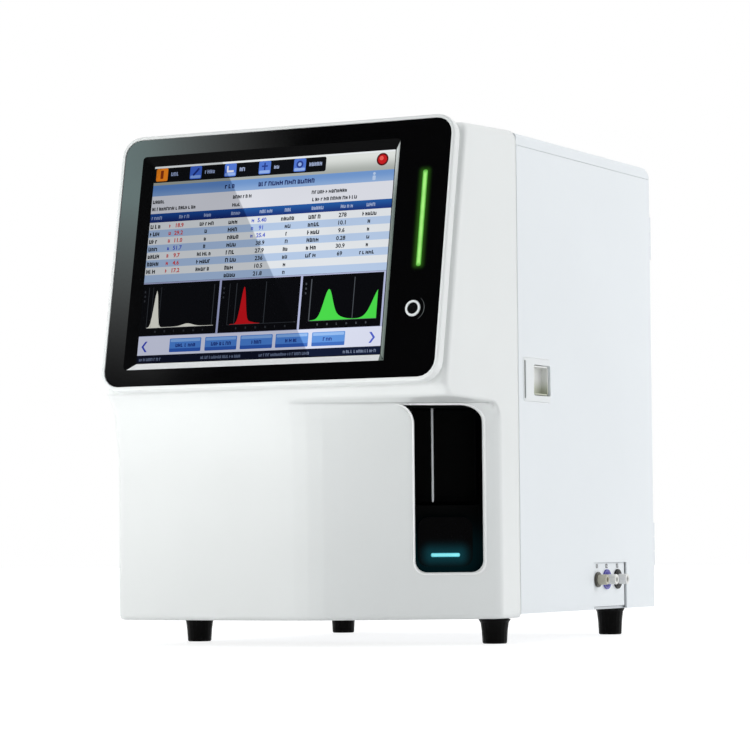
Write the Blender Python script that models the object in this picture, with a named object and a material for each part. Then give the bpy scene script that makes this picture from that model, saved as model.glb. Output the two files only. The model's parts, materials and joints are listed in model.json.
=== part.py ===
"""Benchtop hematology analyzer: moulded front shell with a tilted display head, a sample bay
with its probe lift, a sheet-metal enclosure with a hinged side door, and the fluid unit inside.
Metres, +Z up, front towards -Y. The origin is on the bench under the middle of the bounding box."""
import math

import bmesh
import bpy
from mathutils import Matrix, Vector

for old in list(bpy.data.objects):
    bpy.data.objects.remove(old, do_unlink=True)

# Driving dimensions, read from the photograph with the 10.4 inch screen as the scale
SCREEN_WIDTH = 0.2112
SCREEN_HEIGHT = 0.1584
SCREEN_MARGIN_LEFT = 0.02655
SCREEN_MARGIN_RIGHT = 0.04695
SCREEN_MARGIN_TOP = 0.02175
SCREEN_MARGIN_BOTTOM = 0.01875
ENCLOSURE_DEPTH = 0.272
BASE_Z = 0.0223
SHELL_BOTTOM_Z = 0.0194
CREASE_Z = 0.184
HEAD_BOTTOM_Z = 0.194
GLASS_TO_SEAM = 0.1204
LOWER_FRONT_TO_SEAM = 0.112
RECESS_TO_SEAM = 0.0356
DISPLAY_TILT = math.radians(10.72)
RECESS_ANGLE = math.radians(31.85)

# Shared clearances and stock
GAP = 0.0003
RUNNING_GAP = 0.0006
OVERRUN = 0.01
SHELL_WALL = 0.0026
SHEET = 0.0015
PLATE = 0.002
SEGMENTS = 24
SMALL_SEGMENTS = 16

# Display head
RIM_LIP = 0.0032
RIM_TO_SIDE = 0.00145
RIM_OVER_CHIN = 0.00234
RIM_OVER_SHELL = 0.00106
RIM_DEPTH = 0.008
RIM_PROUD = 0.0008
RIM_EDGE = 0.0014
GLASS_CORNER = 0.013
GROOVE_DEPTH = 0.0044
GROOVE_INSET = 0.005
NECK_WALL = 0.0025
FASCIA_THICKNESS = 0.004
SCREEN_SET_BACK = 0.0022
BEZEL_LEFT = 0.0102
BEZEL_RIGHT = 0.0045
BEZEL_TOP = 0.008
BEZEL_BOTTOM = 0.0055
BEZEL_CORNER = 0.003
LCD_MARGIN = 0.008
LCD_DEPTH = 0.0062
TRAY_FLANGE = 0.008
LIGHT_BAR_INSET = 0.01965
LIGHT_BAR_RISE_SHARE = 0.112
LIGHT_BAR_WIDTH = 0.004
LIGHT_BAR_SHARE = 0.3746
BUTTON_INSET = 0.02155
BUTTON_DROP_SHARE = 0.2373
BUTTON_RING_RADIUS = 0.0063
BUTTON_RING_WALL = 0.0018
BUTTON_DEPTH = 0.0045

# Front shell
CHIN_LOW_Z = 0.135
CHIN_HIGH_Z = 0.187
CHIN_LEAN = 0.0085
CHIN_FLARE_Z = 0.182
RECESS_BLEND = 0.011
UNDERSIDE_RISE = 0.0015
RECESS_CORNER_WIDTH = 0.0087
RECESS_CORNER_HEIGHT = 0.016
SPAN_SHARES = (0.08, 0.2, 0.32, 0.42, 0.48, 0.53, 0.57, 0.61, 0.66, 0.72, 0.78, 0.84, 0.89, 0.93,
               0.96, 0.975, 0.99)
SHELL_TOP_DROP = 0.005
SHELL_OVER_LID = 0.0025
SHELL_TOP_RADIUS = 0.009
SHELL_BOTTOM_RADIUS = 0.003
SHELL_SIDE_RADIUS = 0.004

# Sample bay, measured along and across the slanted wall
WINDOW_LEFT = 0.065
WINDOW_RIGHT = 0.013
WINDOW_BOTTOM_Z = 0.055
WINDOW_TOP_DROP = 0.002
WINDOW_CORNER = 0.009
WINDOW_CUSP = 0.0135
WINDOW_CUSP_DROP = 0.015
WINDOW_EDGE = 0.0012
LINER_WALL = 0.002
LINER_MARGIN = 0.003
LINER_DEPTH = 0.052
LINER_SILL = 0.003
LINER_SET_BACK = 0.0012
LINER_ROOF_SLOT = 0.012
KEY_SHELF_DEPTH = 0.026
KEY_SHELF_TOP_Z = 0.106
KEY_WIDTH = 0.042
KEY_HEIGHT = 0.038
KEY_DEPTH = 0.007
KEY_CENTRE_Z = 0.078
KEY_CORNER = 0.008
KEY_TRAVEL = 0.0025
KEY_STEM_RADIUS = 0.005
KEY_LIGHT_WIDTH = 0.0222
KEY_LIGHT_HEIGHT = 0.003
KEY_LIGHT_Z = 0.0681
KEY_LIGHT_X = -0.001
KEY_LIGHT_DEPTH = 0.0012

# Probe lift
PROBE_X = -0.010
PROBE_INSET = 0.02
PROBE_RADIUS = 0.0009
PROBE_TIP_Z = 0.1085
CARRIAGE_Z = 0.222
CARRIAGE_HEIGHT = 0.022
CARRIAGE_WIDTH = 0.026
CARRIAGE_DEPTH = 0.011
ARM_WIDTH = 0.010
RAIL_WIDTH = 0.007
RAIL_DEPTH = 0.005
RAIL_BOTTOM_Z = 0.198
RAIL_TO_SHELF = 0.007
SCREW_X = 0.008
SCREW_RADIUS = 0.0025
MOTOR_WIDTH = 0.028
MOTOR_HEIGHT = 0.022
MOTOR_SHELF_DROP = 0.045
FRAME_WIDTH = 0.054
BEARING_SHELF_Z = 0.192
WASH_RADIUS = 0.0065
WASH_HEIGHT = 0.014

# Enclosure
SKIRT_HEIGHT = 0.0095
LID_REAR_RADIUS = 0.009
LID_SIDE_RADIUS = 0.003
DOOR_GAP = 0.0008
DOOR_FLANGE = 0.006
HINGE_RADIUS = 0.003
HINGE_PIN_RADIUS = 0.0012
HINGE_LEAF = 0.0012
HINGE_LENGTH = 0.036
HINGE_LOW_Z = 0.075
HINGE_DROP = 0.0595
HINGE_PLATE = 0.022
PANEL_INSET = 0.004
LOUVRE_COUNT = 9
LOUVRE_RISE = 0.048
LOUVRE_PITCH = 0.012
LOUVRE_LENGTH = 0.07
LOUVRE_HEIGHT = 0.003

# Side door latch
LATCH_Y = 0.0344
LATCH_Z = 0.2036
LATCH_WIDTH = 0.0504
LATCH_HEIGHT = 0.0336
LATCH_CORNER = 0.0025
LATCH_LIP = 0.0006
LATCH_THICKNESS = 0.003
SLIT_Y = 0.0116
SLIT_WIDTH = 0.003
SLIT_HEIGHT = 0.030
POCKET_Y = 0.0418
POCKET_WIDTH = 0.0243
POCKET_HEIGHT = 0.0204
POCKET_WALL = 0.0012
POCKET_DEPTH = 0.011
LATCH_TRAVEL = 0.0045
LATCH_BOLT_LENGTH = 0.012
LATCH_BOLT_HEIGHT = 0.010

# Port plate at the lower rear of the right side
PORT_PLATE_SET_BACK = 0.062
PORT_PLATE_LENGTH = 0.0672
PORT_PLATE_TOP_Z = 0.0594
PORT_Z = 0.0465
PORT_TO_END = (0.0570, 0.0375, 0.0150)
PORT_COLLAR_RADIUS = 0.0062
PORT_BARREL_RADIUS = 0.0042
PORT_BARREL_LENGTH = 0.009
PORT_BORE_RADIUS = 0.0021

# Rear panel
FAN_INSET = 0.072
FAN_DROP = 0.1045
FAN_SIZE = 0.080
FAN_DEPTH = 0.025
FAN_BORE_RADIUS = 0.037
FAN_HUB_RADIUS = 0.014
FAN_BLADES = 7
FAN_CORNER = 0.006
GUARD_WIRE = 0.0011
GUARD_RINGS = 3
INLET_INSET = 0.067
INLET_Z = 0.075
INLET_WIDTH = 0.028
INLET_HEIGHT = 0.048
INLET_DEPTH = 0.022
INLET_FLANGE = 0.003
INLET_PIN_SET_BACK = 0.0052
ROCKER_WIDTH = 0.0135
ROCKER_HEIGHT = 0.0205
ROCKER_DEPTH = 0.009
SOCKET_BLOCK_INSET = 0.062
SOCKET_BLOCK_Z = 0.110
SOCKET_BLOCK_WIDTH = 0.090
SOCKET_BLOCK_HEIGHT = 0.040
SOCKET_BLOCK_DEPTH = 0.014
SOCKET_DEPTH = 0.007
SOCKET_COUNT = 4

# Feet
FOOT_FRONT_INSET = 0.016
FOOT_REAR_INSET = 0.021
FOOT_FRONT_TO_SEAM = 0.0135
FOOT_REAR_SET_BACK = 0.047
FOOT_TOP_RADIUS = 0.0112
FOOT_BOTTOM_RADIUS = 0.0095
FOOT_EDGE = 0.0008

# Inner structure and fluid unit
WALL_X = 0.020
WALL_START = 0.016
POST_WIDTH = 0.012
POST_DEPTH = 0.010
POST_TO_FLANGE = 0.0015
BOARD_WIDTH = 0.17
BOARD_HEIGHT = 0.21
BOARD_DROP = 0.0297
BOARD_THICKNESS = 0.0016
BOARD_STANDOFF = 0.008
BOARD_FIXING_SHARES = ((-0.4, 0.1), (0.4, 0.1), (-0.4, 0.9), (0.4, 0.9))
CHIP_SHARES = ((-0.33, 0.6), (-0.17, 0.35), (0, 0.6), (0.17, 0.35), (0.33, 0.6))
CHIP_SIZE = 0.017
CHIP_HEIGHT = 0.0032
SUPPLY_WIDTH = 0.10
SUPPLY_DEPTH = 0.16
SUPPLY_HEIGHT = 0.042
SYRINGE_SHARES = (0.239, 0.327)
SYRINGE_X = 0.052
SYRINGE_RADIUS = 0.0075
SYRINGE_WALL = 0.0011
SYRINGE_LENGTH = 0.062
SYRINGE_DROP = 0.0397
SYRINGE_TRAVEL = 0.040
PLUNGER_RADIUS = 0.0025
YOKE_HEIGHT = 0.008
BATH_SHARES = (0.607, 0.790)
BATH_X = 0.062
BATH_RADIUS = 0.014
BATH_HEIGHT = 0.048
BATH_DROP = 0.083
VALVE_COUNT = 5
VALVE_PITCH = 0.026
VALVE_TO_MOTOR = 0.0027
VALVE_RADIUS = 0.0095
VALVE_LENGTH = 0.030
MANIFOLD_HEIGHT = 0.024
PUMP_SHARE = 0.790
PUMP_DROP = 0.054
PUMP_RADIUS = 0.017
PUMP_LENGTH = 0.045
CHAMBER_SHARE = 0.276
CHAMBER_RADIUS = 0.024
CHAMBER_HEIGHT = 0.085
TUBE_RADIUS = 0.0016

# Places that follow from the sizes above
GLASS_WIDTH = SCREEN_WIDTH + SCREEN_MARGIN_LEFT + SCREEN_MARGIN_RIGHT
GLASS_HEIGHT = SCREEN_HEIGHT + SCREEN_MARGIN_TOP + SCREEN_MARGIN_BOTTOM
SCREEN_X = (SCREEN_MARGIN_LEFT - SCREEN_MARGIN_RIGHT) / 2
SCREEN_Z = (SCREEN_MARGIN_BOTTOM - SCREEN_MARGIN_TOP) / 2
LIGHT_BAR_X = GLASS_WIDTH / 2 - LIGHT_BAR_INSET
LIGHT_BAR_Z = GLASS_HEIGHT * LIGHT_BAR_RISE_SHARE
LIGHT_BAR_HEIGHT = GLASS_HEIGHT * LIGHT_BAR_SHARE
BUTTON_X = GLASS_WIDTH / 2 - BUTTON_INSET
BUTTON_Z = -GLASS_HEIGHT * BUTTON_DROP_SHARE
HALF_WIDTH = GLASS_WIDTH / 2 + RIM_LIP + RIM_TO_SIDE
RIM_HALF_HEIGHT = GLASS_HEIGHT / 2 + RIM_LIP
RIM_RISE = RIM_HALF_HEIGHT * math.cos(DISPLAY_TILT)
GLASS_CENTRE_Z = HEAD_BOTTOM_Z + RIM_OVER_CHIN + RIM_RISE
SHELL_TOP_Z = GLASS_CENTRE_Z + RIM_RISE - RIM_OVER_SHELL
ENCLOSURE_TOP_Z = SHELL_TOP_Z - SHELL_OVER_LID
PORT_REACH = PORT_BARREL_LENGTH + GAP - SHEET
RIM_ARC_DEPTH = RIM_EDGE - RIM_PROUD
RIM_ARC_DROP = RIM_HALF_HEIGHT - RIM_EDGE
FRONT_REACH = (GLASS_TO_SEAM - RIM_ARC_DEPTH * math.cos(DISPLAY_TILT)
               + RIM_ARC_DROP * math.sin(DISPLAY_TILT) + RIM_EDGE)
HINGE_SET_BACK = SHEET + HINGE_RADIUS + GAP
REAR_REACH = ENCLOSURE_DEPTH + HINGE_SET_BACK + HINGE_RADIUS - SHEET
SEAM_Y = (FRONT_REACH - REAR_REACH) / 2
REAR_Y = SEAM_Y + ENCLOSURE_DEPTH
HEAD_SET_BACK = RIM_DEPTH - RIM_PROUD + GROOVE_DEPTH
PLATE_TOP_Z = BASE_Z + PLATE
BASE_SEAT_Z = PLATE_TOP_Z + GAP
PANEL_TOP_Z = ENCLOSURE_TOP_Z - SKIRT_HEIGHT - GAP
HINGE_X = HALF_WIDTH - SHEET - HINGE_LEAF - GAP - HINGE_LEAF / 2
HINGE_Y = REAR_Y + HINGE_SET_BACK - SHEET
HINGE_HIGH_Z = ENCLOSURE_TOP_Z - HINGE_DROP
PORT_PLATE_END = ENCLOSURE_DEPTH - PORT_PLATE_SET_BACK
PORT_PLATE_START = PORT_PLATE_END - PORT_PLATE_LENGTH
FAN_X = FAN_INSET - HALF_WIDTH
FAN_Z = ENCLOSURE_TOP_Z - FAN_DROP
INLET_X = HALF_WIDTH - INLET_INSET
SOCKET_BLOCK_X = SOCKET_BLOCK_INSET - HALF_WIDTH
POST_X = HALF_WIDTH - SHEET - DOOR_FLANGE - POST_TO_FLANGE
MOTOR_SHELF_Z = SHELL_TOP_Z - MOTOR_SHELF_DROP
BOARD_BOTTOM_Z = PANEL_TOP_Z - BOARD_DROP - BOARD_HEIGHT
SYRINGE_TOP_Z = PANEL_TOP_Z - SYRINGE_DROP
SYRINGE_BASE_Z = SYRINGE_TOP_Z - SYRINGE_LENGTH - SYRINGE_TRAVEL - 4 * YOKE_HEIGHT
BATH_BOTTOM_Z = SYRINGE_TOP_Z - BATH_DROP
VALVE_Z = SYRINGE_BASE_Z - GAP - MOTOR_HEIGHT - VALVE_TO_MOTOR - MANIFOLD_HEIGHT / 2
PUMP_Z = VALVE_Z - PUMP_DROP


def material(name, colour, roughness, metallic=0.0, alpha=1.0):
    made = bpy.data.materials.new(name)
    made.use_nodes = True
    shader = made.node_tree.nodes["Principled BSDF"]
    shader.inputs["Base Color"].default_value = (*colour, 1.0)
    shader.inputs["Roughness"].default_value = roughness
    shader.inputs["Metallic"].default_value = metallic
    shader.inputs["Alpha"].default_value = alpha
    return made


WHITE = material("moulded_white", (0.86, 0.87, 0.86), 0.35)
PAINT = material("painted_white", (0.82, 0.84, 0.86), 0.40)
BLACK_GLOSS = material("black_gloss", (0.010, 0.011, 0.013), 0.08)
BLACK_MATTE = material("black_matte", (0.02, 0.02, 0.022), 0.55)
SCREEN = material("screen", (0.35, 0.42, 0.52), 0.15)
GREEN_LIGHT = material("green_light", (0.25, 0.85, 0.15), 0.3)
CYAN_LIGHT = material("cyan_light", (0.25, 0.85, 0.9), 0.3)
STEEL = material("steel", (0.60, 0.61, 0.63), 0.25, 1.0)
ZINC = material("zinc_sheet", (0.50, 0.52, 0.54), 0.42, 1.0)
ALUMINIUM = material("aluminium", (0.70, 0.71, 0.73), 0.35, 1.0)
RUBBER = material("rubber", (0.015, 0.015, 0.016), 0.75)
BOARD_GREEN = material("board_green", (0.03, 0.18, 0.09), 0.45)
CLEAR = material("clear_plastic", (0.75, 0.80, 0.82), 0.12, alpha=0.6)
BLUE = material("blue_plastic", (0.05, 0.17, 0.50), 0.35)
LATCH_GREY = material("latch_grey", (0.62, 0.64, 0.62), 0.4)


def add_mesh(name, mesh_data, surface, smooth=True):
    bmesh.ops.remove_doubles(mesh_data, verts=mesh_data.verts, dist=GAP / 100)
    bmesh.ops.recalc_face_normals(mesh_data, faces=mesh_data.faces)
    mesh = bpy.data.meshes.new(name)
    mesh_data.to_mesh(mesh)
    mesh_data.free()
    mesh.materials.append(surface)
    if smooth:
        mesh.shade_smooth()
        mesh.set_sharp_from_angle(angle=math.radians(35))
    thing = bpy.data.objects.new(name, mesh)
    bpy.context.scene.collection.objects.link(thing)
    return thing


def prism(name, outline, low, high, surface, axis="Z"):
    """Extrude an outline along an axis. The outline holds (X, Y), (X, Z) or (Y, Z) pairs."""
    mesh_data = bmesh.new()
    to_space = {
        "Z": lambda a, b, c: (a, b, c),
        "Y": lambda a, b, c: (a, c, b),
        "X": lambda a, b, c: (c, a, b),
    }[axis]
    lower = [mesh_data.verts.new(to_space(a, b, low)) for a, b in outline]
    upper = [mesh_data.verts.new(to_space(a, b, high)) for a, b in outline]
    mesh_data.faces.new(lower)
    mesh_data.faces.new(upper)
    for index in range(len(outline)):
        following = (index + 1) % len(outline)
        mesh_data.faces.new((lower[index], lower[following], upper[following], upper[index]))
    return add_mesh(name, mesh_data, surface)


def box(name, low, high, surface):
    outline = [(low[0], low[1]), (high[0], low[1]), (high[0], high[1]), (low[0], high[1])]
    return prism(name, outline, low[2], high[2], surface)


def rounded(width, height, radius, centre=(0, 0), steps=5):
    """Rectangle outline with round corners."""
    points = []
    for quarter in range(4):
        side_x = 1 if quarter in (0, 3) else -1
        side_y = 1 if quarter in (0, 1) else -1
        for step in range(steps + 1):
            angle = math.pi / 2 * (quarter + step / steps)
            across = side_x * (width / 2 - radius) + radius * math.cos(angle)
            along = side_y * (height / 2 - radius) + radius * math.sin(angle)
            points.append((centre[0] + across, centre[1] + along))
    return points


def turned(name, profile, centre, surface, axis="Z", segments=SEGMENTS):
    """Revolve (radius, height) pairs about an axis through the centre. A profile that starts and
    ends on the axis is a solid, and any other one is a ring."""
    mesh_data = bmesh.new()
    turn = {
        "Z": Matrix(),
        "Y": Matrix.Rotation(-math.pi / 2, 4, "X"),
        "X": Matrix.Rotation(math.pi / 2, 4, "Y"),
    }[axis]
    rings = []
    for radius, height in profile:
        if radius == 0:
            rings.append([mesh_data.verts.new((0, 0, height))])
            continue
        ring = []
        for step in range(segments):
            angle = 2 * math.pi * step / segments
            place = (radius * math.cos(angle), radius * math.sin(angle), height)
            ring.append(mesh_data.verts.new(place))
        rings.append(ring)
    pairs = list(zip(rings, rings[1:]))
    if profile[0][0] != 0:
        pairs.append((rings[-1], rings[0]))
    for first, second in pairs:
        for step in range(segments):
            following = (step + 1) % segments
            corners = [first[step % len(first)], first[following % len(first)],
                       second[following % len(second)], second[step % len(second)]]
            mesh_data.faces.new(list(dict.fromkeys(corners)))
    bmesh.ops.transform(mesh_data, matrix=Matrix.Translation(centre) @ turn, verts=mesh_data.verts)
    return add_mesh(name, mesh_data, surface)


def rod(name, radius, low, high, centre, surface, axis="Z", segments=SEGMENTS):
    profile = [(0, low), (radius, low), (radius, high), (0, high)]
    return turned(name, profile, centre, surface, axis, segments)


def combine(target, tool, operation):
    tool.hide_render = True
    tool.display_type = "WIRE"
    change = target.modifiers.new(tool.name, "BOOLEAN")
    change.operation = operation
    change.object = tool


def cut(target, tool):
    combine(target, tool, "DIFFERENCE")


def fuse(target, tool):
    combine(target, tool, "UNION")


def ride_on(frame, *things):
    for thing in things:
        thing.parent = frame


def empty(name, place, rotation=(0, 0, 0)):
    frame = bpy.data.objects.new(name, None)
    frame.location = place
    frame.rotation_euler = rotation
    bpy.context.scene.collection.objects.link(frame)
    return frame


def set_origin(thing, place):
    """Move the object's own origin to its joint without moving its surface."""
    thing.data.transform(Matrix.Translation(-Vector(place)))
    thing.location = Vector(thing.location) + Vector(place)


# Front shell: a lofted moulding with a chin, a slanted recess wall and the display head
def head_plane_y(z):
    rise = z - GLASS_CENTRE_Z
    glass_y = SEAM_Y - GLASS_TO_SEAM + rise * math.tan(DISPLAY_TILT)
    return glass_y + HEAD_SET_BACK / math.cos(DISPLAY_TILT)


def chin_y(z):
    share = min(max((z - CHIN_LOW_Z) / (CHIN_HIGH_Z - CHIN_LOW_Z), 0), 1)
    flare_share = min(max((z - CHIN_FLARE_Z) / (HEAD_BOTTOM_Z - CHIN_FLARE_Z), 0), 1)
    straight = SEAM_Y - LOWER_FRONT_TO_SEAM - CHIN_LEAN * share ** 1.7
    return straight + flare_share ** 2 * (head_plane_y(HEAD_BOTTOM_Z) - straight)


def wall_y(x):
    return SEAM_Y - RECESS_TO_SEAM + (x - HALF_WIDTH) * math.tan(RECESS_ANGLE)


def recess_corner_y(x, z):
    """Rounded upper right corner of the recess, which runs out square to the slanted wall."""
    rise_share = min(max((z - CREASE_Z + RECESS_CORNER_HEIGHT) / RECESS_CORNER_HEIGHT, 0), 1)
    along = RECESS_CORNER_WIDTH * (math.sqrt(1 - rise_share ** 2) - 1)
    reach = (along - (x - HALF_WIDTH) * math.cos(RECESS_ANGLE)) / math.sin(RECESS_ANGLE)
    return SEAM_Y - RECESS_TO_SEAM + reach


def recess_y(x, z):
    if z <= CREASE_Z:
        return min(wall_y(x), recess_corner_y(x, z))
    rise_share = (z - CREASE_Z) / UNDERSIDE_RISE
    return wall_y(x) - max(wall_y(x) - chin_y(z), 0) * rise_share


def front_y(x, z):
    if z >= HEAD_BOTTOM_Z:
        return head_plane_y(z)
    first = chin_y(z)
    second = recess_y(x, z)
    fade_share = min((HEAD_BOTTOM_Z - z) / (2 * (HEAD_BOTTOM_Z - CREASE_Z)), 1)
    blend = RECESS_BLEND * fade_share
    return (first + second + math.hypot(first - second, blend)) / 2


def inner_front_y(x, z):
    """Front surface moved in by the wall: the deepest of a ball rolled along the outer surface."""
    deepest = front_y(x, z) + SHELL_WALL
    for step in range(8):
        angle = math.pi / 4 * step
        for reach_share in (0.55, 0.95):
            side = SHELL_WALL * reach_share
            depth = SHELL_WALL * math.sqrt(1 - reach_share ** 2)
            near = front_y(x + side * math.cos(angle), z + side * math.sin(angle)) + depth
            deepest = max(deepest, near)
    return deepest


def shell_rows(inset, surface_y, levels, back_y):
    """Plan outlines of the shell at each level, drawn in near its top and bottom edges."""
    top = SHELL_TOP_Z - inset
    bottom = SHELL_BOTTOM_Z + inset
    rows = []
    side_shares = (0, 0.15, 0.5, 1)
    for level in levels:
        z = bottom + (top - bottom) * level
        top_in = max(z - (top - SHELL_TOP_RADIUS), 0)
        bottom_in = max(bottom + SHELL_BOTTOM_RADIUS - z, 0)
        drawn = SHELL_TOP_RADIUS - math.sqrt(max(SHELL_TOP_RADIUS ** 2 - top_in ** 2, 0))
        drawn += SHELL_BOTTOM_RADIUS - math.sqrt(max(SHELL_BOTTOM_RADIUS ** 2 - bottom_in ** 2, 0))
        half = HALF_WIDTH - inset - drawn
        radius = max(SHELL_SIDE_RADIUS - inset, GAP)
        across = [-half + radius * (1 - math.cos(math.pi / 2 * share)) for share in side_shares]
        across += [-half + radius + 2 * (half - radius) * share for share in SPAN_SHARES]
        across += [-place for place in reversed(across[:len(side_shares)])]
        row = [Vector((-half, back_y, z))]
        for x in across:
            edge = max(radius - (half - abs(x)), 0)
            rounding = radius - math.sqrt(max(radius ** 2 - edge ** 2, 0))
            row.append(Vector((x, surface_y(x, z) + rounding + drawn, z)))
        row.append(Vector((half, back_y, z)))
        drop_share = max(z - GLASS_CENTRE_Z, 0) / (SHELL_TOP_Z - GLASS_CENTRE_Z)
        for point in row:
            reach_share = min((SEAM_Y - point.y) / GLASS_TO_SEAM, 1)
            point.z -= SHELL_TOP_DROP * drop_share * max(reach_share, 0)
        rows.append(row)
    return rows


def level_shares(heights, inset):
    top = SHELL_TOP_Z - inset
    bottom = SHELL_BOTTOM_Z + inset
    return [(min(max(height, bottom), top) - bottom) / (top - bottom) for height in heights]


def loft(name, rows, surface):
    """Skin a solid over outlines that have the same number of points."""
    mesh_data = bmesh.new()
    rings = [[mesh_data.verts.new(point) for point in row] for row in rows]
    for lower, upper in zip(rings, rings[1:]):
        for index in range(len(lower)):
            following = (index + 1) % len(lower)
            mesh_data.faces.new((lower[index], lower[following], upper[following], upper[index]))
    mesh_data.faces.new(rings[0])
    mesh_data.faces.new(rings[-1])
    return add_mesh(name, mesh_data, surface)


def between(low, high, steps):
    return [low + (high - low) * step / steps for step in range(steps)]


def window_outline(grow, top_z):
    """Sample window in the wall's own frame, with its cusp at the upper left."""
    middle = (WINDOW_LEFT + WINDOW_RIGHT) / 2
    left = middle - WINDOW_LEFT - grow
    right = middle - WINDOW_RIGHT + grow
    bottom = WINDOW_BOTTOM_Z - grow
    radius = WINDOW_CORNER
    points = []
    for middle_x, quarter in ((left + radius, 2), (right - radius, 3)):
        for step in range(7):
            angle = math.pi / 2 * (quarter + step / 6)
            points.append((middle_x + radius * math.cos(angle), bottom + radius + radius * math.sin(angle)))
    for step in range(7):
        angle = math.pi / 2 * step / 6
        sweep_x = right - 2 * radius * (1 - math.cos(angle))
        points.append((sweep_x, top_z - 1.4 * radius + 1.4 * radius * math.sin(angle)))
    for step in range(6):
        angle = math.pi / 2 * step / 5
        cusp_x = left - WINDOW_CUSP + WINDOW_CUSP * math.sin(angle)
        points.append((cusp_x, top_z - WINDOW_CUSP_DROP * (1 - math.cos(angle))))
    return points


def make_front_shell(bay):
    heights = [SHELL_BOTTOM_Z, SHELL_BOTTOM_Z + SHELL_BOTTOM_RADIUS / 4,
               SHELL_BOTTOM_Z + SHELL_BOTTOM_RADIUS]
    heights += between(WINDOW_BOTTOM_Z, CHIN_LOW_Z, 2)
    corner_z = CREASE_Z - RECESS_CORNER_HEIGHT
    heights += between(CHIN_LOW_Z, corner_z, 3)
    heights += [corner_z + RECESS_CORNER_HEIGHT * math.sin(math.pi / 2 * step / 6) for step in range(7)]
    heights += [CREASE_Z + UNDERSIDE_RISE, CREASE_Z + 2 * UNDERSIDE_RISE]
    heights += between(CREASE_Z + 3 * UNDERSIDE_RISE, HEAD_BOTTOM_Z, 4)
    heights += [HEAD_BOTTOM_Z, GLASS_CENTRE_Z, SHELL_TOP_Z - SHELL_TOP_RADIUS]
    for step in (1, 2, 3, 4):
        heights.append(SHELL_TOP_Z - SHELL_TOP_RADIUS * (1 - math.sin(math.pi / 2 * step / 4)))
    outer = shell_rows(0, front_y, level_shares(heights, 0), SEAM_Y)
    shell = loft("front_shell", outer, WHITE)
    inner_heights = [SHELL_BOTTOM_Z, SHELL_BOTTOM_Z + SHELL_WALL + SHELL_BOTTOM_RADIUS]
    inner_heights += between(WINDOW_BOTTOM_Z, CHIN_LOW_Z, 2)
    inner_heights += between(CHIN_LOW_Z, corner_z, 2)
    inner_heights += between(corner_z, CREASE_Z, 5)
    inner_heights += [CREASE_Z, CREASE_Z + SHELL_WALL, CREASE_Z + SHELL_WALL + UNDERSIDE_RISE]
    inner_heights += between(CREASE_Z + SHELL_WALL + 2 * UNDERSIDE_RISE, HEAD_BOTTOM_Z, 3)
    inner_heights += [HEAD_BOTTOM_Z, HEAD_BOTTOM_Z + SHELL_WALL, GLASS_CENTRE_Z]
    inner_heights += [SHELL_TOP_Z - SHELL_WALL - SHELL_TOP_RADIUS, SHELL_TOP_Z]
    levels = level_shares(inner_heights, SHELL_WALL)
    inner = shell_rows(SHELL_WALL, inner_front_y, levels, SEAM_Y + OVERRUN)
    cut(shell, loft("shell_cavity", inner, WHITE))
    window = make_window_cutter()
    ride_on(bay, window)
    cut(shell, window)


def make_window_cutter():
    """Cutter for the sample window, flared at the outer face so that the edge comes out rounded."""
    stations = [(-OVERRUN, WINDOW_EDGE)]
    for step in range(4):
        angle = math.pi / 2 * step / 3
        stations.append((WINDOW_EDGE * (1 - math.cos(angle)), WINDOW_EDGE * (1 - math.sin(angle))))
    stations.append((SHELL_WALL + LINER_SET_BACK, 0))
    rows = []
    for depth, grow in stations:
        outline = window_outline(grow, CREASE_Z - WINDOW_TOP_DROP + grow)
        rows.append([Vector((x, depth, z)) for x, z in outline])
    return loft("window_cutter", rows, WHITE)


# Display head pieces stand in a frame at the glass centre, tilted back
def make_display(head):
    rim_width = GLASS_WIDTH + 2 * RIM_LIP
    rim_height = GLASS_HEIGHT + 2 * RIM_LIP
    rim_corner = GLASS_CORNER + RIM_LIP
    rim = make_rim(rim_width, rim_height, rim_corner)
    fascia = make_fascia()
    lcd_front = FASCIA_THICKNESS + GAP
    lcd_back = lcd_front + LCD_DEPTH
    screen_centre = (SCREEN_X, SCREEN_Z)
    body = rounded(SCREEN_WIDTH + 2 * LCD_MARGIN, SCREEN_HEIGHT + 2 * LCD_MARGIN, GAP * 5,
                   screen_centre, 2)
    lcd = prism("lcd_panel", body, lcd_front, lcd_back, SCREEN, "Y")
    face = rounded(SCREEN_WIDTH - 2 * GAP, SCREEN_HEIGHT - 2 * GAP, GAP * 3, screen_centre, 2)
    raised = prism("lcd_face", face, SCREEN_SET_BACK, lcd_front + LCD_DEPTH / 2, SCREEN, "Y")
    fuse(lcd, raised)
    tray = make_lcd_tray(lcd_back)
    bar_centre = (LIGHT_BAR_X, LIGHT_BAR_Z)
    bar_outline = rounded(LIGHT_BAR_WIDTH, LIGHT_BAR_HEIGHT, LIGHT_BAR_WIDTH / 2 - GAP / 2, bar_centre)
    bar = prism("status_light", bar_outline, GAP, FASCIA_THICKNESS + PLATE, GREEN_LIGHT, "Y")
    foot = rounded(3 * LIGHT_BAR_WIDTH, LIGHT_BAR_HEIGHT + LIGHT_BAR_WIDTH, GAP * 3, bar_centre, 2)
    fuse(bar, prism("light_bar_foot", foot, lcd_front, lcd_back, GREEN_LIGHT, "Y"))
    ring, button = make_button()
    ride_on(head, rim, fascia, lcd, raised, tray, bar, ring, button)
    for name in ("light_bar_foot", "rim_mouth", "neck_outer", "neck_bore", "rim_step", "screen_hole",
                 "screen_bevel", "light_slot", "button_hole", "tray_hollow", "button_socket"):
        ride_on(head, bpy.data.objects[name])


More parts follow.
